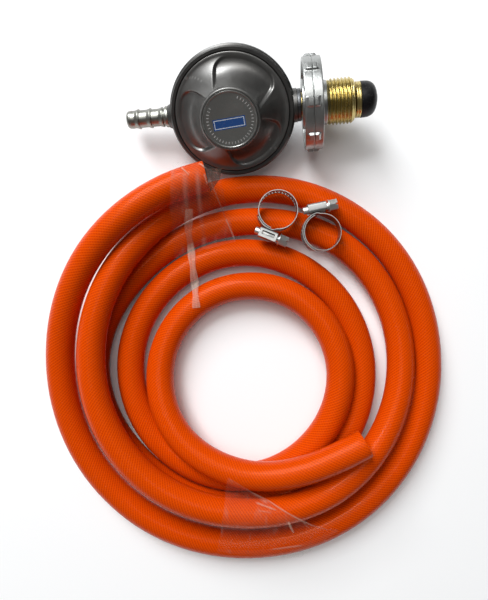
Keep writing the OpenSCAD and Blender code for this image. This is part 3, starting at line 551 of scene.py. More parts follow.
def film_finish(name, haze):
    """Clear tape: mostly see-through, milky at its creases, and glossy."""
    mat, tree, shader = blank(name)
    crease = add(tree, "ShaderNodeAttribute", attribute_name="crease").outputs["Fac"]
    marks = effect(tree, "Handling", handling_group, Amount=0.6, Scale=120.0)
    speck = effect(tree, "Fine Grain", fine_grain_group, Scale=420.0, Contrast=1.5)
    smears = maths(tree, "MULTIPLY", marks["Smear"], 0.04)
    veil = maths(tree, "ADD", maths(tree, "MULTIPLY", crease, 0.27), smears)
    alpha = maths(tree, "ADD", veil, haze, clamp=True)
    # Smooth film, then a crease that catches the light, then crumpled film
    smooth, bright, crumpled = (0.5, 0.42, 0.35, 1), (0.85, 0.64, 0.5, 1), (0.26, 0.24, 0.2, 1)
    base = ramp(tree, maths(tree, "MULTIPLY", crease, 0.5),
                [(0.0, smooth), (0.3, bright), (0.55, bright), (0.75, crumpled)])
    rough = maths(tree, "ADD", 0.12, maths(tree, "MULTIPLY", crease, 0.2), clamp=True)
    feed(tree, shader, Base_Color=base, Alpha=alpha, Roughness=rough, Specular_IOR_Level=0.18,
         Normal=bumped(tree, speck["Height"], 0.00006))
    return mat


PATCH_AT, PATCH_TURN = (0.6, 1.4, 0.0), -4.5
# Half width and half height of the patch, and of the outer and inner edge of its pale line
PATCH_HALF, LINE_OUTER, LINE_INNER = (7.9, 2.6), (7.4, 2.1), (7.05, 1.75)


def disc_finish(name, settings):
    """The disc's printed face: a fine metallic ground and one plain, outlined patch."""
    mat, tree, shader = blank(name)
    uv = add(tree, "ShaderNodeUVMap", uv_map="Surface").outputs["UV"]
    turned_uv = add(tree, "ShaderNodeMapping", {
        "Vector": uv, "Location": PATCH_AT, "Rotation": (0, 0, math.radians(PATCH_TURN))})
    spot = add(tree, "ShaderNodeSeparateXYZ", {0: turned_uv.outputs["Vector"]})

    def inside(half_width, half_height):
        wide = maths(tree, "LESS_THAN", maths(tree, "ABSOLUTE", spot.outputs["X"]), half_width)
        high = maths(tree, "LESS_THAN", maths(tree, "ABSOLUTE", spot.outputs["Y"]), half_height)
        return maths(tree, "MULTIPLY", wide, high)

    plain = inside(*PATCH_HALF)
    border = maths(tree, "SUBTRACT", inside(*LINE_OUTER), inside(*LINE_INNER))
    speck = effect(tree, "Fine Grain", fine_grain_group, Scale=1300.0, Contrast=1.4)
    marks = effect(tree, "Handling", handling_group, Amount=0.35, Scale=70.0)
    ground = mix_colour(tree, speck["Speckle"], shaded(settings.face, 0.82), tuple(settings.face))
    base = mix_colour(tree, plain, ground, tuple(settings.patch))
    base = mix_colour(tree, border, base, (0.55, 0.6, 0.66, 1))
    base = mix_colour(tree, marks["Dust"], base, (0.6, 0.6, 0.58, 1))
    shine = maths(tree, "MULTIPLY", maths(tree, "SUBTRACT", 1.0, plain), 0.75)
    rough = maths(tree, "ADD", 0.3, maths(tree, "MULTIPLY", marks["Smear"], 0.4), clamp=True)
    feed(tree, shader, Base_Color=base, Metallic=shine, Roughness=rough, Coat_Weight=0.6, Coat_Roughness=0.08)
    return mat


def ink_finish(name):
    """The pale ink of the disc's ticks."""
    mat, tree, shader = blank(name)
    speck = effect(tree, "Fine Grain", fine_grain_group, Scale=900.0, Contrast=1.2)
    base = mix_colour(tree, speck["Speckle"], (0.42, 0.42, 0.41, 1), (0.56, 0.56, 0.54, 1))
    feed(tree, shader, Base_Color=base, Roughness=0.5)
    return mat


FINISHES = {}


def finishes(context):
    """Every finish, made once for all the operators."""
    if FINISHES:
        return FINISHES
    scene = context.scene
    m = scene.regset_metal
    zinc, brass, band = tuple(m.zinc), tuple(m.brass), tuple(m.band)
    warm_zinc = (zinc[0] * 0.75, zinc[1] * 0.73, zinc[2] * 0.68, 1)
    # The plated ring sits between the body and the wheel, so its zinc is drawn at 0.3 of its colour: painted
    # shade
    zinc_with_painted_shade = (zinc[0] * 0.3, zinc[1] * 0.3, zinc[2] * 0.32, 1)
    FINISHES.update(
        enamel=enamel("Pewter Enamel", tuple(m.enamel)),
        bowl=enamel("Bowl Enamel", shaded(m.enamel, 0.55), wear=0.0),
        zinc=metal("Plated Zinc", warm_zinc, 0.36, grain=1400.0, smear=0.5),
        ring=metal("Zinc With Painted Shade", zinc_with_painted_shade, 0.34, grain=1400.0, smear=0.4, wear=0.1),
        wheel=metal("Cast Zinc", zinc, 0.34, grain=1000.0, smear=0.55, bump=0.00004),
        brass=metal("Machined Brass", brass, 0.24, grain=1500.0, smear=0.5, dark=0.5),
        band=metal("Clip Strip", shaded(band, 0.4), 0.3, grain=1600.0, smear=0.3, wear=0.0),
        house=metal("Clip Housing", shaded(band, 0.5), 0.36, grain=1600.0, smear=0.3, wear=0.0),
        screw=metal("Screw Plate", (0.75, 0.75, 0.73, 1), 0.42, grain=1600.0, smear=0.3, wear=0.0),
        spring=metal("Spring Wire", (0.5, 0.5, 0.52, 1), 0.3),
        nose=rubber("Nose Rubber", (0.005, 0.005, 0.0055, 1), 0.4),
        sheet=rubber("Diaphragm Rubber", (0.03, 0.03, 0.03, 1), 0.6),
        hose=hose_finish("Braided Hose", scene.regset_hose),
        film=film_finish("Clear Tape", scene.regset_tape.haze),
        disc=disc_finish("Disc Face", scene.regset_disc),
        ink=ink_finish("Tick Ink"))
    return FINISHES


# ---- geometry trees ------------------------------------------------------

def geometry_tree(name, inputs):
    """A new geometry tree: gives the tree, its named inputs' outputs, and its last socket."""
    old = bpy.data.node_groups.get(name)
    if old:
        bpy.data.node_groups.remove(old)
    tree = bpy.data.node_groups.new(name, "GeometryNodeTree")
    tree.interface.new_socket(name="Geometry", in_out="INPUT", socket_type="NodeSocketGeometry")
    tree.interface.new_socket(name="Geometry", in_out="OUTPUT", socket_type="NodeSocketGeometry")
    for label, (kind, value) in inputs.items():
        socket = tree.interface.new_socket(name=label, in_out="INPUT", socket_type=kind)
        if value is not None:
            socket.default_value = value
    given, last = tree.nodes.new("NodeGroupInput"), tree.nodes.new("NodeGroupOutput")
    return tree, given.outputs, last.inputs["Geometry"]


def close_tree(tree, geometry, material, out):
    """Every tree ends in real faces with their material set."""
    real = add(tree, "GeometryNodeRealizeInstances", {"Geometry": geometry})
    done = add(tree, "GeometryNodeSetMaterial", {"Geometry": real.outputs["Geometry"], "Material": material})
    tree.links.new(done.outputs["Geometry"], out)


def grown(obj, tree, **values):
    """Runs a geometry tree on an object and keeps the result as its plain mesh."""
    modifier = obj.modifiers.new(tree.name, "NODES")
    modifier.node_group = tree
    for item in tree.interface.items_tree:
        if item.item_type == "SOCKET" and item.in_out == "INPUT" and item.name in values:
            modifier[item.identifier] = values[item.name]
    settled(obj, modifier)
    return obj


def round_the_line(tree):
    """The parts of a point's place, and its distance from the X axis."""
    place = add(tree, "ShaderNodeSeparateXYZ", {0: add(tree, "GeometryNodeInputPosition").outputs[0]})
    x, y, z = place.outputs
    m = partial(maths, tree)
    return x, y, z, m("SQRT", m("ADD", m("MULTIPLY", y, y), m("MULTIPLY", z, z)))


def pushed_out(tree, geometry, y, z, distance):
    """Moves each point straight away from the X axis."""
    spoke = add(tree, "ShaderNodeCombineXYZ", {"Y": y, "Z": z})
    outward = add(tree, "ShaderNodeVectorMath", {0: spoke.outputs[0]}, operation="NORMALIZE")
    offset = add(tree, "ShaderNodeVectorMath", {0: outward.outputs[0], "Scale": distance}, operation="SCALE")
    moved = add(tree, "GeometryNodeSetPosition", {"Geometry": geometry, "Offset": offset.outputs[0]})
    return moved.outputs["Geometry"]


# ---- stage ---------------------------------------------------------------

class REGSET_OT_stage(bpy.types.Operator):
    """Makes the camera, the lamps, the pale surface and the world"""
    bl_idname = "regset.stage"
    bl_label = "Stage"

    SENSOR, LENS_SHARE = 36.0, 520 / 600        # the lens's focal length, as a share of the frame's long side
    CAMERA_PAST_COIL = 35.15                    # how far along Y the camera is from the coil's middle
    SURFACE_HALF = 2                            # half the surface's width, in metres
    LAMP_AIM = (0, -0.06, 0)                    # the middle of the set, in metres
    SURFACE_GLOW = 0.04
    # Place, size in metres, and colour of each lamp
    WINDOW = ((-0.75, 1.2, 1.4), (0.8, 1.3), (0.96, 0.98, 1.0))
    OVERHEAD = ((-0.3, 0.6, 2.1), (1.5, 1.5), (1.0, 1.0, 0.99))

    def execute(self, context):
        scene, sizes = context.scene, context.scene.regset_stage
        camera = bpy.data.objects.new("Camera", bpy.data.cameras.new("Camera"))
        camera.data.sensor_width = self.SENSOR
        camera.data.lens = self.SENSOR * self.LENS_SHARE
        camera.location = (COIL_AT[0] * MM, (COIL_AT[1] + self.CAMERA_PAST_COIL) * MM, sizes.camera_height)
        scene.collection.objects.link(camera)
        scene.camera = camera

        self.lamp(scene, "Window", *self.WINDOW, sizes.key_power)
        self.lamp(scene, "Overhead", *self.OVERHEAD, sizes.key_power * sizes.overhead)

        mesh = bpy.data.meshes.new("Surface")
        h = self.SURFACE_HALF
        mesh.from_pydata([(-h, -h, 0), (h, -h, 0), (h, h, 0), (-h, h, 0)], [], [(0, 1, 2, 3)])
        surface = bpy.data.objects.new("Surface", mesh)
        surface.location = (0, 0, SURFACE_Z)
        mesh.materials.append(self.surface_finish(tuple(sizes.floor_colour)))
        scene.collection.objects.link(surface)

        self.world(scene)
        scene.view_settings.view_transform = "Standard"
        return {"FINISHED"}

    def lamp(self, scene, name, place, size, colour, power):
        """One broad lamp, turned to the middle of the set."""
        data = bpy.data.lights.new(name, "AREA")
        data.shape = "RECTANGLE"
        data.size, data.size_y = size
        data.energy = power
        data.color = colour
        lamp = bpy.data.objects.new(name, data)
        lamp.location = place
        lamp.rotation_euler = (Vector(self.LAMP_AIM) - Vector(place)).to_track_quat("-Z", "Y").to_euler()
        scene.collection.objects.link(lamp)

    def surface_finish(self, colour):
        """A matt white surface that glows a little to the lens, so that it renders near white."""
        mat, tree, shader = blank("Pale Surface")
        feed(tree, shader, Base_Color=colour, Roughness=0.9)
        glow = add(tree, "ShaderNodeEmission", {"Color": (1, 1, 1, 1), "Strength": self.SURFACE_GLOW})
        both = add(tree, "ShaderNodeAddShader", {0: shader.outputs["BSDF"], 1: glow.outputs["Emission"]})
        path = add(tree, "ShaderNodeLightPath")
        seen = maths(tree, "MAXIMUM", path.outputs["Is Camera Ray"], path.outputs["Is Glossy Ray"])
        seen = maths(tree, "MAXIMUM", seen, path.outputs["Is Transmission Ray"])
        mixed = add(tree, "ShaderNodeMixShader", {0: seen, 1: shader.outputs["BSDF"], 2: both.outputs[0]})
        tree.links.new(mixed.outputs[0], tree.nodes["Material Output"].inputs["Surface"])
        return mat

    def world(self, scene):
        """A dim room, darker overhead, to the right and in front."""
        world = bpy.data.worlds.new("Room")
        world.use_nodes = True
        tree = world.node_tree
        room = tree.nodes["Background"]
        way = add(tree, "ShaderNodeTexCoord").outputs["Generated"]
        facing = add(tree, "ShaderNodeSeparateXYZ", {0: way})
        behind = maths(tree, "ADD", maths(tree, "MULTIPLY", facing.outputs["Y"], 0.5), 0.5)
        side = ramp(tree, behind, [(0.15, (0.62, 0.61, 0.6, 1)), (0.9, (1.0, 1.0, 1.0, 1))])
        right = ramp(tree, facing.outputs["X"], [(0.1, (1.0, 1.0, 1.0, 1)), (0.7, (0.35, 0.35, 0.35, 1))])
        height = ramp(tree, facing.outputs["Z"], [(0.0, 1.0), (0.25, 0.62), (0.6, 0.42), (0.85, 0.3)])
        level = add(tree, "ShaderNodeVectorMath", {0: side, 1: right}, operation="MULTIPLY").outputs[0]
        shade = add(tree, "ShaderNodeVectorMath", {0: level, 1: height}, operation="MULTIPLY").outputs[0]
        tree.links.new(shade, room.inputs["Color"])
        room.inputs["Strength"].default_value = scene.regset_stage.room_level
        scene.world = world


# ---- hose ----------------------------------------------------------------

class REGSET_OT_hose(bpy.types.Operator):
    """Makes the coiled hose as one tube with its bore and its two cut ends"""
    bl_idname = "regset.hose"
    bl_label = "Hose"

    def execute(self, context):
        sides = context.scene.regset_hose.sides
        route = hose_route()
        loop = self.loop(route)
        verts, uvs, faces = [], [], []
        for point, heading, radius, _ in loop:
            side = heading.cross(UP).normalized()
            rise = side.cross(heading)
            for k in range(sides):
                turn = 2 * math.pi * k / sides
                verts.append((point + (side * math.cos(turn) + rise * math.sin(turn)) * radius) * MM)
        count = len(loop)
        for i in range(count):
            n = (i + 1) % count
            near, far = loop[i][3] * MM, loop[n][3] * MM
            for k in range(sides):
                q = (k + 1) % sides
                faces.append((i * sides + k, i * sides + q, n * sides + q, n * sides + k))
                v0, v1 = k / sides, (k + 1) / sides
                uvs.append(((near, v0), (near, v1), (far, v1), (far, v0)))
        hose = linked("gas_hose_dressed", verts, faces, finishes(context)["hose"], uvs, math.radians(50))
        if self.inside_out(hose):
            hose.data.flip_normals()
        keep(hose, "hose_coil", "hose_plastic", "gas_hose")
        return {"FINISHED"}

    def loop(self, route):
        """Rings out along the wall and back through the bore: (point, heading, radius, distance along)."""
        rings, travelled = [], 0.0
        for i, point in enumerate(route):
            before, after = route[max(i - 1, 0)], route[min(i + 1, len(route) - 1)]
            if i:
                travelled += (point - before).length
            rings.append((point, (after - before).normalized(), HOSE_R, travelled))
        first, last = rings[0], rings[-1]
        lead_in = [(first[0] - first[1] * x, first[1], r, -x) for x, r in reversed(self.wall())]
        lead_out = [(last[0] + last[1] * x, last[1], r, last[3] + x) for x, r in self.wall()]
        inside = rings[::2]
        if len(rings) % 2 == 0:
            inside.append(last)
        bore = [(point, heading, HOSE_BORE_R, along) for point, heading, _, along in reversed(inside)]
        return lead_in + rings[1:-1] + lead_out + bore[1:-1]

    def wall(self):
        """From the outer edge to the bore's edge of a cut end: (how far it stands out, radius)."""
        return [(-0.35, HOSE_R), (-0.12, HOSE_R - 0.06), (0.0, HOSE_R - 0.3),
                (0.0, HOSE_BRAID_R + 0.3), (-0.02, HOSE_BRAID_R), (0.0, HOSE_BRAID_R - 0.3),
                (0.0, HOSE_BORE_R + 0.25), (-0.2, HOSE_BORE_R)]

    def inside_out(self, obj):
        """Whether the face at the hose's highest point looks down."""
        mesh = obj.data
        top = max(mesh.vertices, key=lambda v: v.co.z).index
        face = next(p for p in mesh.polygons if top in p.vertices)
        return face.normal.z < 0


# ---- tapes ---------------------------------------------------------------

FILM_GAP, FILM_LOW = 0.3, 1.0       # over the hose, and over the surface
FILM_BRIDGE_R = 16                  # how the film curves from one turn down to the next
FILM_PAST, FILM_FALL = 12, 1.6      # how far past a cut end the film is held up, and how fast it falls there


def crown_height(x, y):
    """Height of a film pulled over the turns, at a place measured from the coil's middle."""
    r, bearing = math.hypot(x, y), math.degrees(math.atan2(y, x)) % 360
    best = FILM_LOW
    for turn in range(math.ceil(HOSE_TO / 360)):
        t = bearing + 360 * turn
        near = min(max(t, HOSE_FROM), HOSE_TO)
        past = abs(t - near) * math.pi / 180 * r        # how far past a cut end
        if past < FILM_PAST:
            off = r - on_route(near, 0)
            top = HOSE_R * 2 + max(0, on_route(near, 1)) + FILM_GAP
            best = max(best, top - off * off / (2 * FILM_BRIDGE_R) - past * FILM_FALL)
    return best


class REGSET_OT_tapes(bpy.types.Operator):
    """Makes the two clear tapes, creased and pulled over the turns, one of them drawn out to a strip"""
    bl_idname = "regset.tapes"
    bl_label = "Tapes"

    # Corners in turn, measured from the coil's middle, then creases as (from, to, width, height)
    UPPER = ((-35, 102.5), (-13, 100.5), (-4.5, 66), (-37, 57))
    UPPER_FOLDS = [
        ((-17.5, 96), (-4.8, 67), 0.4, 0.6), ((-28.5, 98), (-28, 64), 1.8, 0.22),
        ((-22.5, 98), (-21, 63), 1.6, 0.28), ((-21.8, 101.5), (-18.6, 99), 0.6, 1.0),
        ((-30.5, 99.5), (-26.5, 95.5), 0.5, 0.8), ((-19.2, 96), (-17.6, 91), 0.5, 0.5)]
    LOWER = ((-8, -53), (50, -86), (30, -101.5), (-14, -97.5))
    LOWER_FOLDS = [
        ((-8, -52.5), (48, -86.5), 0.4, 0.6), ((6, -65.5), (16, -69), 0.5, 0.7),
        ((7, -69), (13, -70), 0.4, 0.4), ((1, -57), (12, -66), 1.6, 0.4),
        ((22, -75), (25, -82), 0.6, 0.9), ((28, -74), (33, -80), 0.4, 0.3), ((14, -96), (31, -94), 0.5, 0.5)]
    # The upper tape's drawn-out strip: its middle line, and half its width
    STRIP = [(-27, 80), (-28.5, 70), (-28, 62), (-27, 54), (-26.2, 46), (-25.5, 38), (-25, 31)]
    STRIP_HALF = 1.75
    # The loose corner past the hose's end: (x, y, height) in turn, crumpled
    FLAP = ((-19.8, 100.6, 30.0), (-11.0, 100.6, 30.5), (-12.3, 96.5, 24.0), (-17.6, 91.5, 17.5))
    # Piece, solid, corners, folds, seed of its wrinkles, drawn-out strip, flat size in metres
    TAPES = (
        ("tape_upper_film", "tape_upper", UPPER, UPPER_FOLDS, 3.0, STRIP, (0.048, 0.095)),
        ("tape_lower_film", "tape_lower", LOWER, LOWER_FOLDS, 8.0, None, (0.066, 0.052)))

    def execute(self, context):
        film = finishes(context)["film"]
        for name, node, corners, folds, seed, strip, flat in self.TAPES:
            sheet, area = self.patch(name, node, film, corners, folds, seed, strip)
        return {"FINISHED"}

    def patch(self, name, node, film, corners, folds, seed, strip):
        """One film with its ragged edge, strip and corner. Gives the piece and its area on one side."""
        a, b, c, d = (Vector(p) for p in corners)
        wide, tall = 110, 150
        places = []
        for i in range(tall + 1):
            for k in range(wide + 1):
                u, v = k / wide, i / tall
                place = (a * (1 - u) + b * u) * (1 - v) + (d * (1 - u) + c * u) * v
                ragged = noise.noise(Vector((v * 9, u * 9, seed))) * 1.2
                edge = (1 - abs(2 * u - 1)) * (1 - abs(2 * v - 1))
                places.append(place + (c - a).normalized() * ragged * (1 - edge))
        faces = self.grid(0, wide, tall)
        if strip:
            start, route = len(places), [Vector(p) for p in strip]
            steps, across = 90, 6
            for i in range(steps + 1):
                f = i / steps * (len(route) - 1)
                k = min(int(f), len(route) - 2)
                centre = route[k].lerp(route[k + 1], f - k)
                side = Vector((1, 0.1)) * (self.STRIP_HALF + 0.3 * math.sin(i * 0.23))
                places += [centre + side * (j / across * 2 - 1) for j in range(across + 1)]
            faces += self.grid(start, across, steps)
        verts, creases = [], []
        for n, place in enumerate(places):
            on_strip = strip is not None and n >= start
            depth = self.crease(place, folds, seed)
            if on_strip:
                depth = 0.35 + 0.3 * abs(math.sin(place.y * 0.12 + place.x * 1.6))
            height = crown_height(place.x, place.y) + 0.1 + depth * 0.55 + (0.25 if on_strip else 0.0)
            verts.append(Vector((COIL_AT[0] + place.x, COIL_AT[1] + place.y, height)) * MM)
            creases.append(depth)
        if strip:
            self.flap(verts, faces, creases)
        thin = bpy.context.scene.regset_tape.thickness
        obj = linked(name, *thickened(verts, faces, [Vector((0, 0, -thin))] * len(verts)), film)
        layer = obj.data.attributes.new("crease", "FLOAT", "POINT")
        layer.data.foreach_set("value", creases * 2)
        tidy(obj)
        keep(obj, "hose_coil", "clear_tape", node)
        return obj, sum(p.area for p in obj.data.polygons) / 2

    def flap(self, verts, faces, creases):
        """Adds the loose corner to a film's points, faces and creases."""
        a, b, c, d = (Vector(p) for p in self.FLAP)
        start, cells = len(verts), 22
        for i in range(cells + 1):
            for k in range(cells + 1):
                u, v = k / cells, i / cells
                spot = (a * (1 - u) + b * u) * (1 - v) + (d * (1 - u) + c * u) * v
                crumple = noise.noise(Vector((spot.x * 0.4, spot.y * 0.18, 5.0)))
                verts.append(Vector((COIL_AT[0] + spot.x, COIL_AT[1] + spot.y, spot.z + crumple * 1.1)) * MM)
                creases.append(1.75 + 0.9 * crumple)
        faces += self.grid(start, cells, cells)

    def grid(self, start, wide, tall):
        """Faces of a block of points, in rows of one more than its width."""
        row = wide + 1
        cells = [start + i * row + k for i in range(tall) for k in range(wide)]
        return [(c, c + row, c + row + 1, c + 1) for c in cells]

    def crease(self, place, folds, seed):
        """Height of the sharp, straight ridges that pulling leaves in a film, and of its faint puckers."""
        best = 0.0
        for start, end, width, height in folds:
            a, b = Vector(start), Vector(end)
            f = (place - a).dot(b - a) / (b - a).length_squared
            if -0.05 < f < 1.05:
                line = a.lerp(b, f)
                wander = noise.noise(Vector((f * 5, height * 7, seed))) * 0.8
                off = abs((place - line).length - abs(wander) * 0.5)
                fade = min(1, (f + 0.05) * 6, (1.05 - f) * 6)
                best = max(best, height * fade * max(0.0, 1 - off / width))
        pucker = noise.noise(Vector((place.x * 0.5, place.y * 0.12, seed)))
        return max(best, max(0.0, pucker - 0.25) * 0.4)


# ---- regulator -----------------------------------------------------------

# The cover's sizes, as in the part's source
LIP_UNDER, SKIRT_R, SKIRT_Z, DOME_R, COVER_WALL = 7.3, 28.8, 8.4, 27.2, 1.5
COVER_TOP, CROWN_R, CROWN_FOOT, SHOULDER_Z, SKIRT_FOOT = 22.8, 14.6, 15.0, 21.0, LIP_UNDER - 0.6
PANEL_R, PANEL_HALF, PANEL_SWELL, PANEL_FLARE, PANEL_TURN, PANEL_COUNT = 26.6, 31.0, 11.0, 14.0, 66.0, 3
DISC_R, DISC_Z, DISC_T, NUT_BORE_R, BORE_FLOOR_Z = 13.3, 21.5, 1.7, 8.6, 14.4
RIB_CURVE, PANEL_CURVE, PANEL_SINK, PANEL_FOOT = 1.6, 2.7, 0.5, 0.6


def smooth_step(low, high, x):
    """Goes from 0 at low to 1 at high, level at both."""
    f = min(1.0, max(0.0, (x - low) / (high - low)))
    return f * f * (3 - 2 * f)


def soft_min(a, b, width):
    """The smaller of two values, blended where they are closer than width."""
    h = max(width - abs(a - b), 0.0) / width
    return min(a, b) - h * h * width / 4


def dome_height(r):
    """Height of the cover's ribs at a radius."""
    return SKIRT_Z + (SHOULDER_Z - SKIRT_Z) * max(0.0, (DOME_R - r) / (DOME_R - CROWN_FOOT)) ** RIB_CURVE


def panel_height(r):
    """Height of a recessed panel's floor at a radius."""
    rise = SHOULDER_Z - PANEL_FOOT - SKIRT_Z + PANEL_SINK
    return SKIRT_Z - PANEL_SINK + rise * max(0.0, (PANEL_R - r) / (PANEL_R - CROWN_FOOT)) ** PANEL_CURVE


def panel_share(r, bearing):
    """How far a point lies in a recessed panel, from 0 on the ribs to 1."""
    step = 360 / PANEL_COUNT
    off = abs((bearing - PANEL_TURN + step / 2) % step - step / 2)
    f = min(1.0, max(0.0, (PANEL_R - r) / (PANEL_R - CROWN_R + 2)))
    half = PANEL_HALF + PANEL_SWELL * (1 - (1 - f) ** 5) + PANEL_FLARE * f ** 3
    inward = soft_min(math.radians(half - off) * r, PANEL_R - r, 4.0)
    return smooth_step(-0.9, 1.1, inward)


class REGSET_OT_cover(bpy.types.Operator):
    """Makes the domed cover with its recessed, soft-edged panels"""
    bl_idname = "regset.cover"
    bl_label = "Cover"

    def execute(self, context):
        sides, steps, inner_steps = 360, 56, 12
        skirt = [(SKIRT_R, SKIRT_FOOT), (SKIRT_R, SKIRT_Z - 0.4), (SKIRT_R - 0.12, SKIRT_Z - 0.12),
                 (SKIRT_R - 0.4, SKIRT_Z)]
        foot = DOME_R + 0.6
        swept = [foot - (foot - CROWN_FOOT) * i / steps for i in range(steps + 1)]
        crown = [
            (CROWN_FOOT - 0.1, SHOULDER_Z + 0.3), (CROWN_R + 0.02, COVER_TOP - 0.6),
            (CROWN_R - 0.1, COVER_TOP - 0.25), (CROWN_R - 0.35, COVER_TOP - 0.05), (CROWN_R - 0.6, COVER_TOP),
            (DISC_R + 0.3, COVER_TOP), (DISC_R + 0.12, COVER_TOP - 0.15), (DISC_R + 0.1, DISC_Z),
            (NUT_BORE_R, DISC_Z), (NUT_BORE_R, BORE_FLOOR_Z), (NUT_BORE_R + 2, BORE_FLOOR_Z),
            (NUT_BORE_R + 2, DISC_Z - 2), (CROWN_R - 1.4, DISC_Z - 2)]
        inner = [CROWN_FOOT + (PANEL_R - CROWN_FOOT) * i / inner_steps for i in range(inner_steps + 1)]
        verts = []
        for k in range(sides):
            bearing = 360 * k / sides
            column = list(skirt)
            for r in swept:
                share = panel_share(r, bearing)
                column.append((r, dome_height(r) * (1 - share) + panel_height(r) * share))
            column += crown
            column += [(r - 0.6, panel_height(r) - COVER_WALL) for r in inner]
            column += [(PANEL_R + 0.3, SKIRT_FOOT)]
            c, s = math.cos(math.radians(bearing)), math.sin(math.radians(bearing))
            verts += [REGULATOR @ (Vector((r * c, r * s, z)) * MM) for r, z in column]
        rows = len(verts) // sides
        faces = [(k * rows + i, ((k + 1) % sides) * rows + i,
                  ((k + 1) % sides) * rows + (i + 1) % rows, k * rows + (i + 1) % rows)
                 for k in range(sides) for i in range(rows)]
        cover = linked("cover_shell", verts, faces, finishes(context)["enamel"], sharp=math.radians(50))
        tidy(cover)
        keep(cover, "regulator", "body_paint", "cover")
        return {"FINISHED"}


class REGSET_OT_disc(bpy.types.Operator):
    """Makes the snap-in disc, its printed face and its ring of ticks"""
    bl_idname = "regset.disc"
    bl_label = "Disc"

    EDGE_H, TICK_R, TAB_TURN, TAB_HALF = 0.3, 10.9, 190, 1.15
    BARE_FROM, BARE_TO = 0.19, 0.4      # share of the circle that has no ticks

    def execute(self, context):
        looks = finishes(context)
        top = DISC_Z + DISC_T
        edge = top + self.EDGE_H
        ring = eased([(DISC_Z, 0), (DISC_Z, DISC_R), (edge, DISC_R), (edge, DISC_R - 0.55),
                      (top, DISC_R - 0.75), (top, 0)], 0.12)
        disc = turned("disc_body", ring, looks["disc"], axis="Z", sides=160)
        self.lay_uv(disc)
        tab = self.tab(looks["disc"])
        keep(disc, "regulator", "disc_face", "label_disc")
        keep(tab, "regulator", "disc_face")

        seat = linked("disc_ticks", [REGULATOR @ (Vector((0, 0, top)) * MM)], [], looks["ink"])
        count = context.scene.regset_disc.ticks
        ticks = grown(seat, self.tick_tree(), Count=count, Radius=self.TICK_R * MM, Ink=looks["ink"])
        ticks.data.transform(REGULATOR @ Matrix.Translation((0, 0, top * MM)))
        keep(ticks, "regulator", "disc_face")
        return {"FINISHED"}

    def lay_uv(self, obj):
        """UVs in millimetres across the disc, from its middle."""
        back = REGULATOR.inverted()
        layer = obj.data.uv_layers.new(name="Surface")
        for loop in obj.data.loops:
            local = back @ obj.data.vertices[loop.vertex_index].co
            layer.data[loop.index].uv = (local.x / MM, local.y / MM)

    def tab(self, material):
        """The tab that stands out from the disc's edge into the cover's notch."""
        turn, half = math.radians(self.TAB_TURN), self.TAB_HALF
        along = Vector((math.cos(turn), math.sin(turn), 0))
        across = Vector((-math.sin(turn), math.cos(turn), 0))
        r = DISC_R
        outline = [(r - 0.9, -half), (r + 0.3, -half), (r + 0.75, 0.35 - half), (r + 0.85, 0),
                   (r + 0.75, half - 0.35), (r + 0.3, half), (r - 0.9, half)]
        low, high = DISC_Z + 0.65, DISC_Z + DISC_T + 0.2
        verts = [REGULATOR @ ((along * a + across * c + UP * z) * MM)
                 for z in (low, high) for a, c in outline]
        n = len(outline)
        faces = [tuple(range(n))[::-1], tuple(range(n, 2 * n))]
        faces += [(i, (i + 1) % n, n + (i + 1) % n, n + i) for i in range(n)]
        tab = linked("disc_tab", verts, faces, material)
        tidy(tab)
        self.lay_uv(tab)
        return tab

    def tick_tree(self):
        """Small raised dashes, set out round a circle and turned to face its middle."""
        tree, given, out = geometry_tree("Tick Ring", {
            "Count": ("NodeSocketInt", 44), "Radius": ("NodeSocketFloat", 0.0109),
            "Length": ("NodeSocketFloat", 0.0012), "Width": ("NodeSocketFloat", 0.0003),
            "Ink": ("NodeSocketMaterial", None)})
        circle = add(tree, "GeometryNodeMeshCircle", {"Vertices": given["Count"], "Radius": given["Radius"]})
        size = add(tree, "ShaderNodeCombineXYZ", {"X": given["Length"], "Y": given["Width"], "Z": 0.00006})
        dash = add(tree, "GeometryNodeMeshCube", {"Size": size.outputs["Vector"]})
        place = add(tree, "GeometryNodeInputPosition")
        facing = add(tree, "FunctionNodeAlignRotationToVector", {"Vector": place.outputs["Position"]},
                     axis="X", pivot_axis="Z")
        number = add(tree, "GeometryNodeInputIndex")
        share = maths(tree, "DIVIDE", number.outputs["Index"], given["Count"])
        beyond = add(tree, "FunctionNodeCompare", {0: share, 1: self.BARE_FROM}, operation="GREATER_THAN")
        before = add(tree, "FunctionNodeCompare", {0: share, 1: self.BARE_TO}, operation="LESS_THAN")
        bare = add(tree, "FunctionNodeBooleanMath",
                   {0: beyond.outputs["Result"], 1: before.outputs["Result"]}, operation="AND")
        shown = add(tree, "FunctionNodeBooleanMath", {0: bare.outputs["Boolean"]}, operation="NOT")
        dashes = add(tree, "GeometryNodeInstanceOnPoints", {
            "Points": circle.outputs["Mesh"], "Selection": shown.outputs["Boolean"],
            "Instance": dash.outputs["Mesh"], "Rotation": facing.outputs["Rotation"]})
        close_tree(tree, dashes.outputs["Instances"], given["Ink"], out)
        return tree


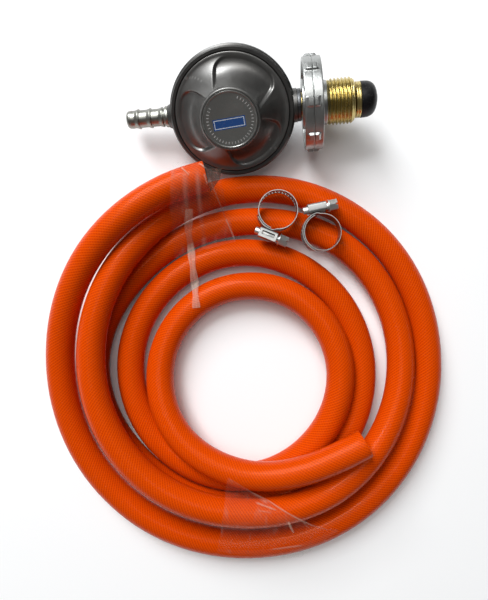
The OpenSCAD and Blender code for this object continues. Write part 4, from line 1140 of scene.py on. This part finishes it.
class REGSET_OT_handwheel(bpy.types.Operator):
    """Makes the hand wheel: a turned cup whose rim is lifted into lobes"""
    bl_idname = "regset.handwheel"
    bl_label = "Hand Wheel"

    WHEEL_R, WALL, BACK_T, OPEN_X, BACK_X, HUB_X, HUB_R = 23.5, 2, 3, 35.9, 45.0, 35.24, 12.2
    COLLAR_R, COLLAR_X, BORE_R, ROUNDING = 10.8, 47.8, 7.0, 0.55
    # The lobes' angles in degrees, and the groove where the casting's mould parted
    LOBES, LOBE_H, LOBE_TURN, LOBE_HALF, LOBE_SLOPE = 8, 1.1, 32.5, 4.8, 1.4
    PARTING_X, PARTING_HALF, PARTING_SLOPE, PARTING_DEPTH = 40.425, 0.125, 0.15, 0.35

    def execute(self, context):
        rim, back, groove = self.WHEEL_R - self.LOBE_H, self.BACK_X, self.PARTING_X
        floor, wide, deep = self.PARTING_HALF, self.PARTING_HALF + self.PARTING_SLOPE, self.PARTING_DEPTH
        outline = [
            (self.HUB_X, self.BORE_R), (self.HUB_X, self.HUB_R), (back - self.BACK_T, self.HUB_R),
            (back - self.BACK_T, rim - self.WALL), (self.OPEN_X, rim - self.WALL), (self.OPEN_X, rim),
            (groove - wide, rim), (groove - floor, rim - deep),
            (groove + floor, rim - deep), (groove + wide, rim),
            (back, rim), (back, self.COLLAR_R), (self.COLLAR_X, self.COLLAR_R), (self.COLLAR_X, self.BORE_R)]
        profile = []
        points = eased(outline, self.ROUNDING, 4)
        for a, b in zip(points, points[1:] + points[:1]):
            cuts = max(1, int((b - a).length / 0.5)) if min(a[1], b[1]) > rim - 0.8 else 1
            profile += [a.lerp(b, i / cuts) for i in range(cuts)]
        wheel = turned("handwheel_cast", profile, finishes(context)["wheel"], sides=480, sharp=55)
        wheel.data.transform(REGULATOR.inverted())
        wheel = grown(wheel, self.lobe_tree(), Lobes=self.LOBES, Turn=math.radians(self.LOBE_TURN),
                      Lift=self.LOBE_H * MM, Half=math.radians(self.LOBE_HALF),
                      Slope=math.radians(self.LOBE_SLOPE), Rim=(rim - 0.25) * MM,
                      Open=(self.OPEN_X + 1.0) * MM, Back=(back - 1.6) * MM, Metal=finishes(context)["wheel"])
        wheel.data.transform(REGULATOR)
        wheel.data.set_sharp_from_angle(angle=math.radians(55))
        keep(wheel, "inlet_nut", "wheel_zinc", "handwheel")
        return {"FINISHED"}

    def lobe_tree(self):
        """Lifts the rim outward in even lobes, between the wheel's two edges."""
        floats = {
            "Turn": 0.0, "Lift": 0.0008, "Half": 0.08, "Slope": 0.04,
            "Rim": 0.0224, "Open": 0.0369, "Back": 0.0434}
        tree, given, out = geometry_tree("Wheel Lobes", {
            "Lobes": ("NodeSocketInt", 8), **{k: ("NodeSocketFloat", v) for k, v in floats.items()},
            "Metal": ("NodeSocketMaterial", None)})
        m = partial(maths, tree)
        x, y, z, radius = round_the_line(tree)
        bearing = m("ARCTAN2", y, m("MULTIPLY", z, -1.0))
        pitch = m("DIVIDE", 2 * math.pi, given["Lobes"])
        shifted = m("ADD", m("SUBTRACT", bearing, given["Turn"]), m("MULTIPLY", pitch, 0.5))
        off = m("ABSOLUTE", m("SUBTRACT", m("FLOORED_MODULO", shifted, pitch), m("MULTIPLY", pitch, 0.5)))
        reach = m("ADD", given["Half"], given["Slope"])
        share = m("DIVIDE", m("SUBTRACT", reach, off), given["Slope"], clamp=True)
        end_slope = 0.0007                  # in metres, at each end of a lobe
        rise = m("DIVIDE", m("SUBTRACT", x, given["Open"]), end_slope, clamp=True)
        fall = m("DIVIDE", m("SUBTRACT", given["Back"], x), end_slope, clamp=True)
        on_rim = m("GREATER_THAN", radius, given["Rim"])
        shape = m("MULTIPLY", m("MULTIPLY", share, rise), m("MULTIPLY", fall, on_rim))
        lift = m("MULTIPLY", shape, given["Lift"])
        close_tree(tree, pushed_out(tree, given["Geometry"], y, z, lift), given["Metal"], out)
        return tree


class REGSET_OT_inlet_thread(bpy.types.Operator):
    """Makes the brass union nut with its left-hand thread"""
    bl_idname = "regset.inlet_thread"
    bl_label = "Inlet Thread"

    START_X, END_X, CREST_R, PITCH, DEPTH = 47.8, 61.3, 11.24, 25.4 / 14, 0.95
    HUB_X, HUB_R, BORE_R = 36.9, 7.75, 6.1      # the nut's plain end, inside the wheel

    def execute(self, context):
        brass = finishes(context)["brass"]
        start, length = self.START_X, self.END_X - self.START_X
        steps = int(length / 0.12)
        wall = [(start + length * i / steps, self.CREST_R) for i in range(steps + 1)]
        profile = [(self.HUB_X, self.BORE_R), (self.HUB_X, self.HUB_R), (start + 0.01, self.HUB_R)]
        profile += wall + [(self.END_X, self.BORE_R + 0.3), (self.END_X - 0.3, self.BORE_R)]
        nut = turned("union_nut_threaded", profile, brass, sides=144, sharp=180)
        nut.data.transform(REGULATOR.inverted())
        nut = grown(nut, self.thread_tree(), Start=start * MM, End=self.END_X * MM,
                    Crest=self.CREST_R * MM, Pitch=self.PITCH * MM, Depth=self.DEPTH * MM, Metal=brass)
        nut.data.transform(REGULATOR)
        nut.data.set_sharp_from_angle(angle=math.radians(75))
        keep(nut, "inlet_nut", "brass", "union_nut")
        return {"FINISHED"}

    def thread_tree(self):
        """Cuts a left-hand thread into a turned wall, and thins it at both ends."""
        floats = {"Start": 0.0478, "End": 0.0613, "Crest": 0.01124, "Pitch": 0.00181, "Depth": 0.00095}
        tree, given, out = geometry_tree("Left-hand Thread", {
            **{k: ("NodeSocketFloat", v) for k, v in floats.items()}, "Metal": ("NodeSocketMaterial", None)})
        m = partial(maths, tree)
        x, y, z, radius = round_the_line(tree)
        crest_half, flank_w = 0.07, 0.36    # shares of a pitch
        whole_turns = 8.0                   # keeps the phase positive
        turn = m("DIVIDE", m("ARCTAN2", y, z), 2 * math.pi)
        phase = m("ADD", m("DIVIDE", m("SUBTRACT", x, given["Start"]), given["Pitch"]), turn)
        # 0 at a crest, 0.5 at a root
        saw = m("ABSOLUTE", m("SUBTRACT", m("FRACT", m("ADD", phase, whole_turns)), 0.5))
        flank = m("DIVIDE", m("SUBTRACT", saw, crest_half), flank_w, clamp=True)
        cut = m("MULTIPLY", flank, given["Depth"])
        last_turn = m("SUBTRACT", x, m("SUBTRACT", given["End"], given["Pitch"]))
        to_end = m("DIVIDE", last_turn, given["Pitch"], clamp=True)
        end_cut = m("MULTIPLY", m("MULTIPLY", to_end, given["Depth"]), 1.5)
        first_turn = m("DIVIDE", m("SUBTRACT", x, given["Start"]), given["Pitch"], clamp=True)
        start_cut = m("MULTIPLY", m("SUBTRACT", 1.0, first_turn), given["Depth"])
        deepest = m("MAXIMUM", m("MAXIMUM", cut, end_cut), start_cut)
        outer = m("GREATER_THAN", radius, m("SUBTRACT", given["Crest"], 0.0001))
        inset = m("MULTIPLY", m("MULTIPLY", deepest, outer), -1.0)
        close_tree(tree, pushed_out(tree, given["Geometry"], y, z, inset), given["Metal"], out)
        return tree


class REGSET_OT_turned_parts(bpy.types.Operator):
    """Turns the barbed tail, the plated ring, the brass nipple and its rubber nose"""
    bl_idname = "regset.turned_parts"
    bl_label = "Turned Parts"

    TAIL_END, TAIL_R, TAIL_BORE, BARB_R, BARB_PITCH, BARB_FIRST, BARBS = -55.8, 4.4, 2.8, 5.0, 6.35, -49.6, 3
    BOSS_X, TAIL_IN, RING_X, RING_T, RING_R, STEM_R = -33.5, -25.4, 32.9, 2.0, 8.0, 6.0
    NIPPLE_X, NIPPLE_R, SHOULDER_X, SHOULDER_R, NOSE_X, NOSE_L, GAS_R = 24.0, 3.8, 62.1, 8.75, 64.6, 8.4, 2.2
    SPIGOT_R, SPIGOT_L, NOSE_BORE_R, NOSE_TIP_R = 4.0, 4.4, 1.9, 2.4

    def execute(self, context):
        looks = finishes(context)
        for name, outline, finish, slot, node in (
                ("hose_tail_turned", eased(self.tail(), 0.35), "zinc", "zinc", "hose_tail"),
                ("neck_ring_turned", eased(self.ring(), 0.2), "ring", "zinc", "neck_ring"),
                ("inlet_nipple_turned", eased(self.nipple(), 0.3), "brass", "brass", "inlet_nipple"),
                ("nose_turned", self.nose(), "nose", "nose_rubber", "nose_seal")):
            keep(turned(name, outline, looks[finish], sides=96, sharp=50), "regulator", slot, node)
        return {"FINISHED"}

    def ring(self):
        """Outline of the plated ring, with its outer edges chamfered."""
        x, end, r, chamfer = self.RING_X, self.RING_X + self.RING_T, self.RING_R, 0.3
        return [(x, self.STEM_R), (x, r - chamfer), (x + chamfer, r), (end - chamfer, r), (end, r - chamfer),
                (end, self.STEM_R)]

    def tail(self):
        """Outline of the tail: a rounded tip, thin barbs, and the collar at the boss."""
        end, r, barb, boss = self.TAIL_END, self.TAIL_R, self.BARB_R, self.BOSS_X
        outline = [(end, self.TAIL_BORE), (end, r - 1.3), (end + 0.3, r - 0.5), (end + 1.1, r),
                   (end + 2.6, r + 0.12), (end + 3.5, r)]
        for i in range(self.BARBS):
            x = self.BARB_FIRST + i * self.BARB_PITCH
            outline += [(x - 1.7, r), (x - 0.35, barb - 0.1), (x, barb), (x + 0.45, barb), (x + 0.6, r)]
        collar = barb + 0.3
        return outline + [(boss - 1.95, r), (boss - 1.8, collar), (boss, collar), (boss, r),
                          (self.TAIL_IN, r), (self.TAIL_IN, self.TAIL_BORE)]

    def nipple(self):
        """Outline of the nipple: its shank in the neck, stem, grooved shoulder and spigot."""
        x, r, tip = self.SHOULDER_X, self.SHOULDER_R, self.NOSE_X + self.SPIGOT_L
        return [(self.NIPPLE_X, self.GAS_R), (self.NIPPLE_X, self.NIPPLE_R), (self.RING_X, self.NIPPLE_R),
                (self.RING_X, self.STEM_R), (x, self.STEM_R), (x, r - 0.2), (x + 0.2, r), (x + 0.9, r),
                (x + 1.0, r - 0.25), (x + 1.3, r - 0.25), (x + 1.4, r), (self.NOSE_X, r),
                (self.NOSE_X, self.SPIGOT_R), (tip, self.SPIGOT_R), (tip, self.GAS_R)]

    def nose(self):
        """Outline of the rubber nose: full along its side, then rounded to a blunt end."""
        x, r, steps = self.NOSE_X, self.SHOULDER_R + 0.05, 28
        seat, bore, tip = self.SPIGOT_R + 0.02, self.NOSE_BORE_R, x + self.SPIGOT_L + 0.05
        along = [math.sin(math.pi / 2 * i / steps) for i in range(steps + 1)]
        front = [(x + self.NOSE_L * f, max(self.NOSE_TIP_R, r * (1 - f ** 3.4) ** 0.42)) for f in along]
        back = [(x + self.NOSE_L - 0.25, bore), (tip, bore), (tip, seat)]
        return [(x, seat), (x, r - 0.3), (x + 0.12, r)] + front[1:] + back


class REGSET_OT_clips(bpy.types.Operator):
    """Makes each clip's slotted strip and folded housing, and rounds its screw's edges"""
    bl_idname = "regset.clips"
    bl_label = "Clips"

    WIDTH, THICK, CAD_THICK, HOUSE_L, HOUSE_D, PITCH = 8.0, 0.55, 0.65, 9.6, 5.8, 1.7
    REST_GAP = 0.7                  # over the top of a turn that lies flat
    # The strip starts at the housing, comes round to it again, and steps up over its own start before it
    HOUSE_AT, LAP, RAMP = 90.0, 450.0, 14.0
    SLOT_LEAN, SLOT_SPAN, SLOT_CLEAR, MARGIN = 14, 204, 6, 1.7
    # Body: distance and bearing from the coil's middle, turn, whether it lies turned over,
    # the strip's inner radius, and the angle that its free end spans
    CLIPS = {"clip_a": (83.3, 77.9, 158.0, True, 9.6, 26.0), "clip_b": (80.7, 60.1, 12.0, False, 9.0, 112.0)}

    def execute(self, context):
        looks = finishes(context)
        for body, (away, bearing, turn, over, r, span) in self.CLIPS.items():
            place = self.place(away, bearing, turn, over)
            half = math.degrees(math.asin(self.HOUSE_L / 2 / (r + self.CAD_THICK)))
            keep(self.strip(body, place, r, half, span, looks["band"]), body, "clip_steel", body + "_band")
            keep(self.housing(body, place, r, looks["house"]), body, "clip_steel", body + "_housing")
            screw = softened(body + "_screw_rounded", body + "_screw", 0.18, looks["screw"])
            keep(screw, body + "_worm", "screw_steel", body + "_screw")
        return {"FINISHED"}

    def place(self, away, bearing, turn, over):
        """Where a clip's own frame lies: its strip's middle, on the side that it rests on."""
        rest = 2 * HOSE_R + self.REST_GAP + (self.WIDTH if over else 0)
        angle = math.radians(bearing)
        at = Vector((COIL_AT[0] + away * math.cos(angle), COIL_AT[1] + away * math.sin(angle), rest))
        turned_over = Matrix.Rotation(math.pi if over else 0, 4, "Y")
        return Matrix.Translation(at) @ Matrix.Rotation(math.radians(turn), 4, "Z") @ turned_over

    def strip(self, body, place, r, half, span, material):
        """The strip runs once round and then over itself, with one leaning slot to each pitch."""
        step = math.degrees(self.PITCH / r) / 4
        start, stop = self.HOUSE_AT + self.SLOT_CLEAR, self.LAP + half + span
        columns = round((stop - start) / step)
        levels = (0.0, 0.25, self.MARGIN, self.WIDTH - self.MARGIN, self.WIDTH - 0.25, self.WIDTH)
        verts, offsets = [], []
        for i in range(columns + 1):
            angle = start + (stop - start) * i / columns
            lift = (self.CAD_THICK + 0.15) * smooth_step(self.LAP - self.RAMP, self.LAP, angle)
            for z in levels:
                lean = math.radians(angle) + math.radians(self.SLOT_LEAN) * (z - self.WIDTH / 2) / r
                inset = 0.12 if z in (levels[0], levels[-1]) else 0.0
                out = Vector((math.cos(lean), math.sin(lean), 0))
                verts.append(place @ (out * (r + self.CAD_THICK + lift - inset) + Vector((0, 0, z))) * MM)
                offsets.append(place.to_3x3() @ out * -(self.THICK - 2 * inset) * MM)
        row = len(levels)
        faces = []
        for i in range(columns):
            angle = start + (stop - start) * (i + 0.5) / columns
            past_house = angle - (self.HOUSE_AT if angle < 330 else self.LAP) - half - self.SLOT_CLEAR
            slotted = 0 < past_house < self.SLOT_SPAN and angle < stop - 5 and i % 4 < 2
            for k in range(row - 1):
                if not (slotted and k == 2):
                    faces.append((i * row + k, (i + 1) * row + k, (i + 1) * row + k + 1, i * row + k + 1))
        strip = linked(body + "_strip", *thickened(verts, faces, offsets), material, sharp=math.radians(50))
        tidy(strip)
        return strip

    def housing(self, body, place, r, material):
        """A sheet folded over the worm, open at both ends, with a window in its lower side."""
        low, high = r + self.CAD_THICK + 0.95, r + self.CAD_THICK + self.HOUSE_D
        wide, half = self.WIDTH, self.HOUSE_L / 2
        corners = [(low, 0.2), (low + 1.4, 0.0), (high - 1.5, 0.0), (high, 0.0), (high, wide), (low, wide)]
        fold = eased(corners, 1.5, 6)
        outline = []
        for a, b in zip(fold, fold[1:] + fold[:1]):
            cuts = max(1, int((b - a).length / 0.9))
            outline += [a.lerp(b, i / cuts) for i in range(cuts)]
        outline = outline[:outline.index(max(outline, key=lambda p: p.y - p.x)) + 1]
        window_half, sheet, lip = 3.4, 0.75, 0.12
        stations = [-half, -half + lip, -window_half, -1.2, 1.2, window_half, half - lip, half]
        verts, offsets = [], []
        for x in stations:
            ease = lip if abs(x) == half else 0.0
            for p in outline:
                core = Vector((max(low + 1.0, min(high - 1.0, p.x)), max(1.0, min(wide - 1.0, p.y))))
                inward = (core - p).normalized()
                spot = p + inward * ease
                verts.append(place @ Vector((x, spot.x, spot.y)) * MM)
                offsets.append(place.to_3x3() @ Vector((0, *(inward * (sheet - 2 * ease)))) * MM)
        row, faces = len(outline), []
        for i in range(len(stations) - 1):
            for k in range(row - 1):
                centre = (outline[k] + outline[k + 1]) / 2
                window = 1 < i < 5 and centre.y < 0.1 and low + 1.3 < centre.x < high - 1.4
                if not window:
                    faces.append((i * row + k, i * row + k + 1, (i + 1) * row + k + 1, (i + 1) * row + k))
        housing = linked(body + "_house", *thickened(verts, faces, offsets), material, sharp=math.radians(40))
        tidy(housing)
        return housing


class REGSET_OT_metalwork(bpy.types.Operator):
    """Gives the carried-over solids, which are mostly inside, their finishes"""
    bl_idname = "regset.metalwork"
    bl_label = "Metalwork and Seals"

    FINISH_OF = {
        "lower_body": "bowl", "inlet_filter": "brass", "inlet_jet": "brass", "diaphragm": "sheet",
        "diaphragm_plate": "zinc", "pull_stem": "brass", "lever": "zinc", "lever_pin": "spring",
        "main_spring": "spring", "adjusting_nut": "brass", "valve_plunger": "brass", "valve_pad": "nose"}

    def execute(self, context):
        looks = finishes(context)
        for node, finish in self.FINISH_OF.items():
            mesh = frame["nodes"][node].data
            if not mesh.materials:
                mesh.materials.append(None)
            for index in range(len(mesh.materials)):
                mesh.materials[index] = looks[finish]
        return {"FINISHED"}


# ---- panel and run -------------------------------------------------------

STEPS = (
    REGSET_OT_stage, REGSET_OT_hose, REGSET_OT_tapes, REGSET_OT_cover, REGSET_OT_disc, REGSET_OT_handwheel,
    REGSET_OT_inlet_thread, REGSET_OT_turned_parts, REGSET_OT_clips, REGSET_OT_metalwork)


class REGSET_PT_panel(bpy.types.Panel):
    """Lists the set's settings and the operators that build it"""
    bl_idname = "REGSET_PT_panel"
    bl_label = "Cylinder Regulator Set"
    bl_space_type = "VIEW_3D"
    bl_region_type = "UI"
    bl_category = "Regulator"

    def draw(self, context):
        for name in SETTINGS:
            box = self.layout.box()
            settings = getattr(context.scene, name)
            for key in settings.__annotations__:
                box.prop(settings, key)
        for step in STEPS:
            self.layout.operator(step.bl_idname)


def register():
    for cls in (*SETTINGS.values(), *STEPS, REGSET_PT_panel):
        bpy.utils.register_class(cls)
    for name, cls in SETTINGS.items():
        setattr(bpy.types.Scene, name, bpy.props.PointerProperty(type=cls))


def unregister():
    for name in SETTINGS:
        delattr(bpy.types.Scene, name)
    for cls in reversed((*SETTINGS.values(), *STEPS, REGSET_PT_panel)):
        bpy.utils.unregister_class(cls)


def main():
    register()
    for step in STEPS:
        area, action = step.bl_idname.split(".")
        getattr(getattr(bpy.ops, area), action)()


if __name__ == "__main__":
    main()
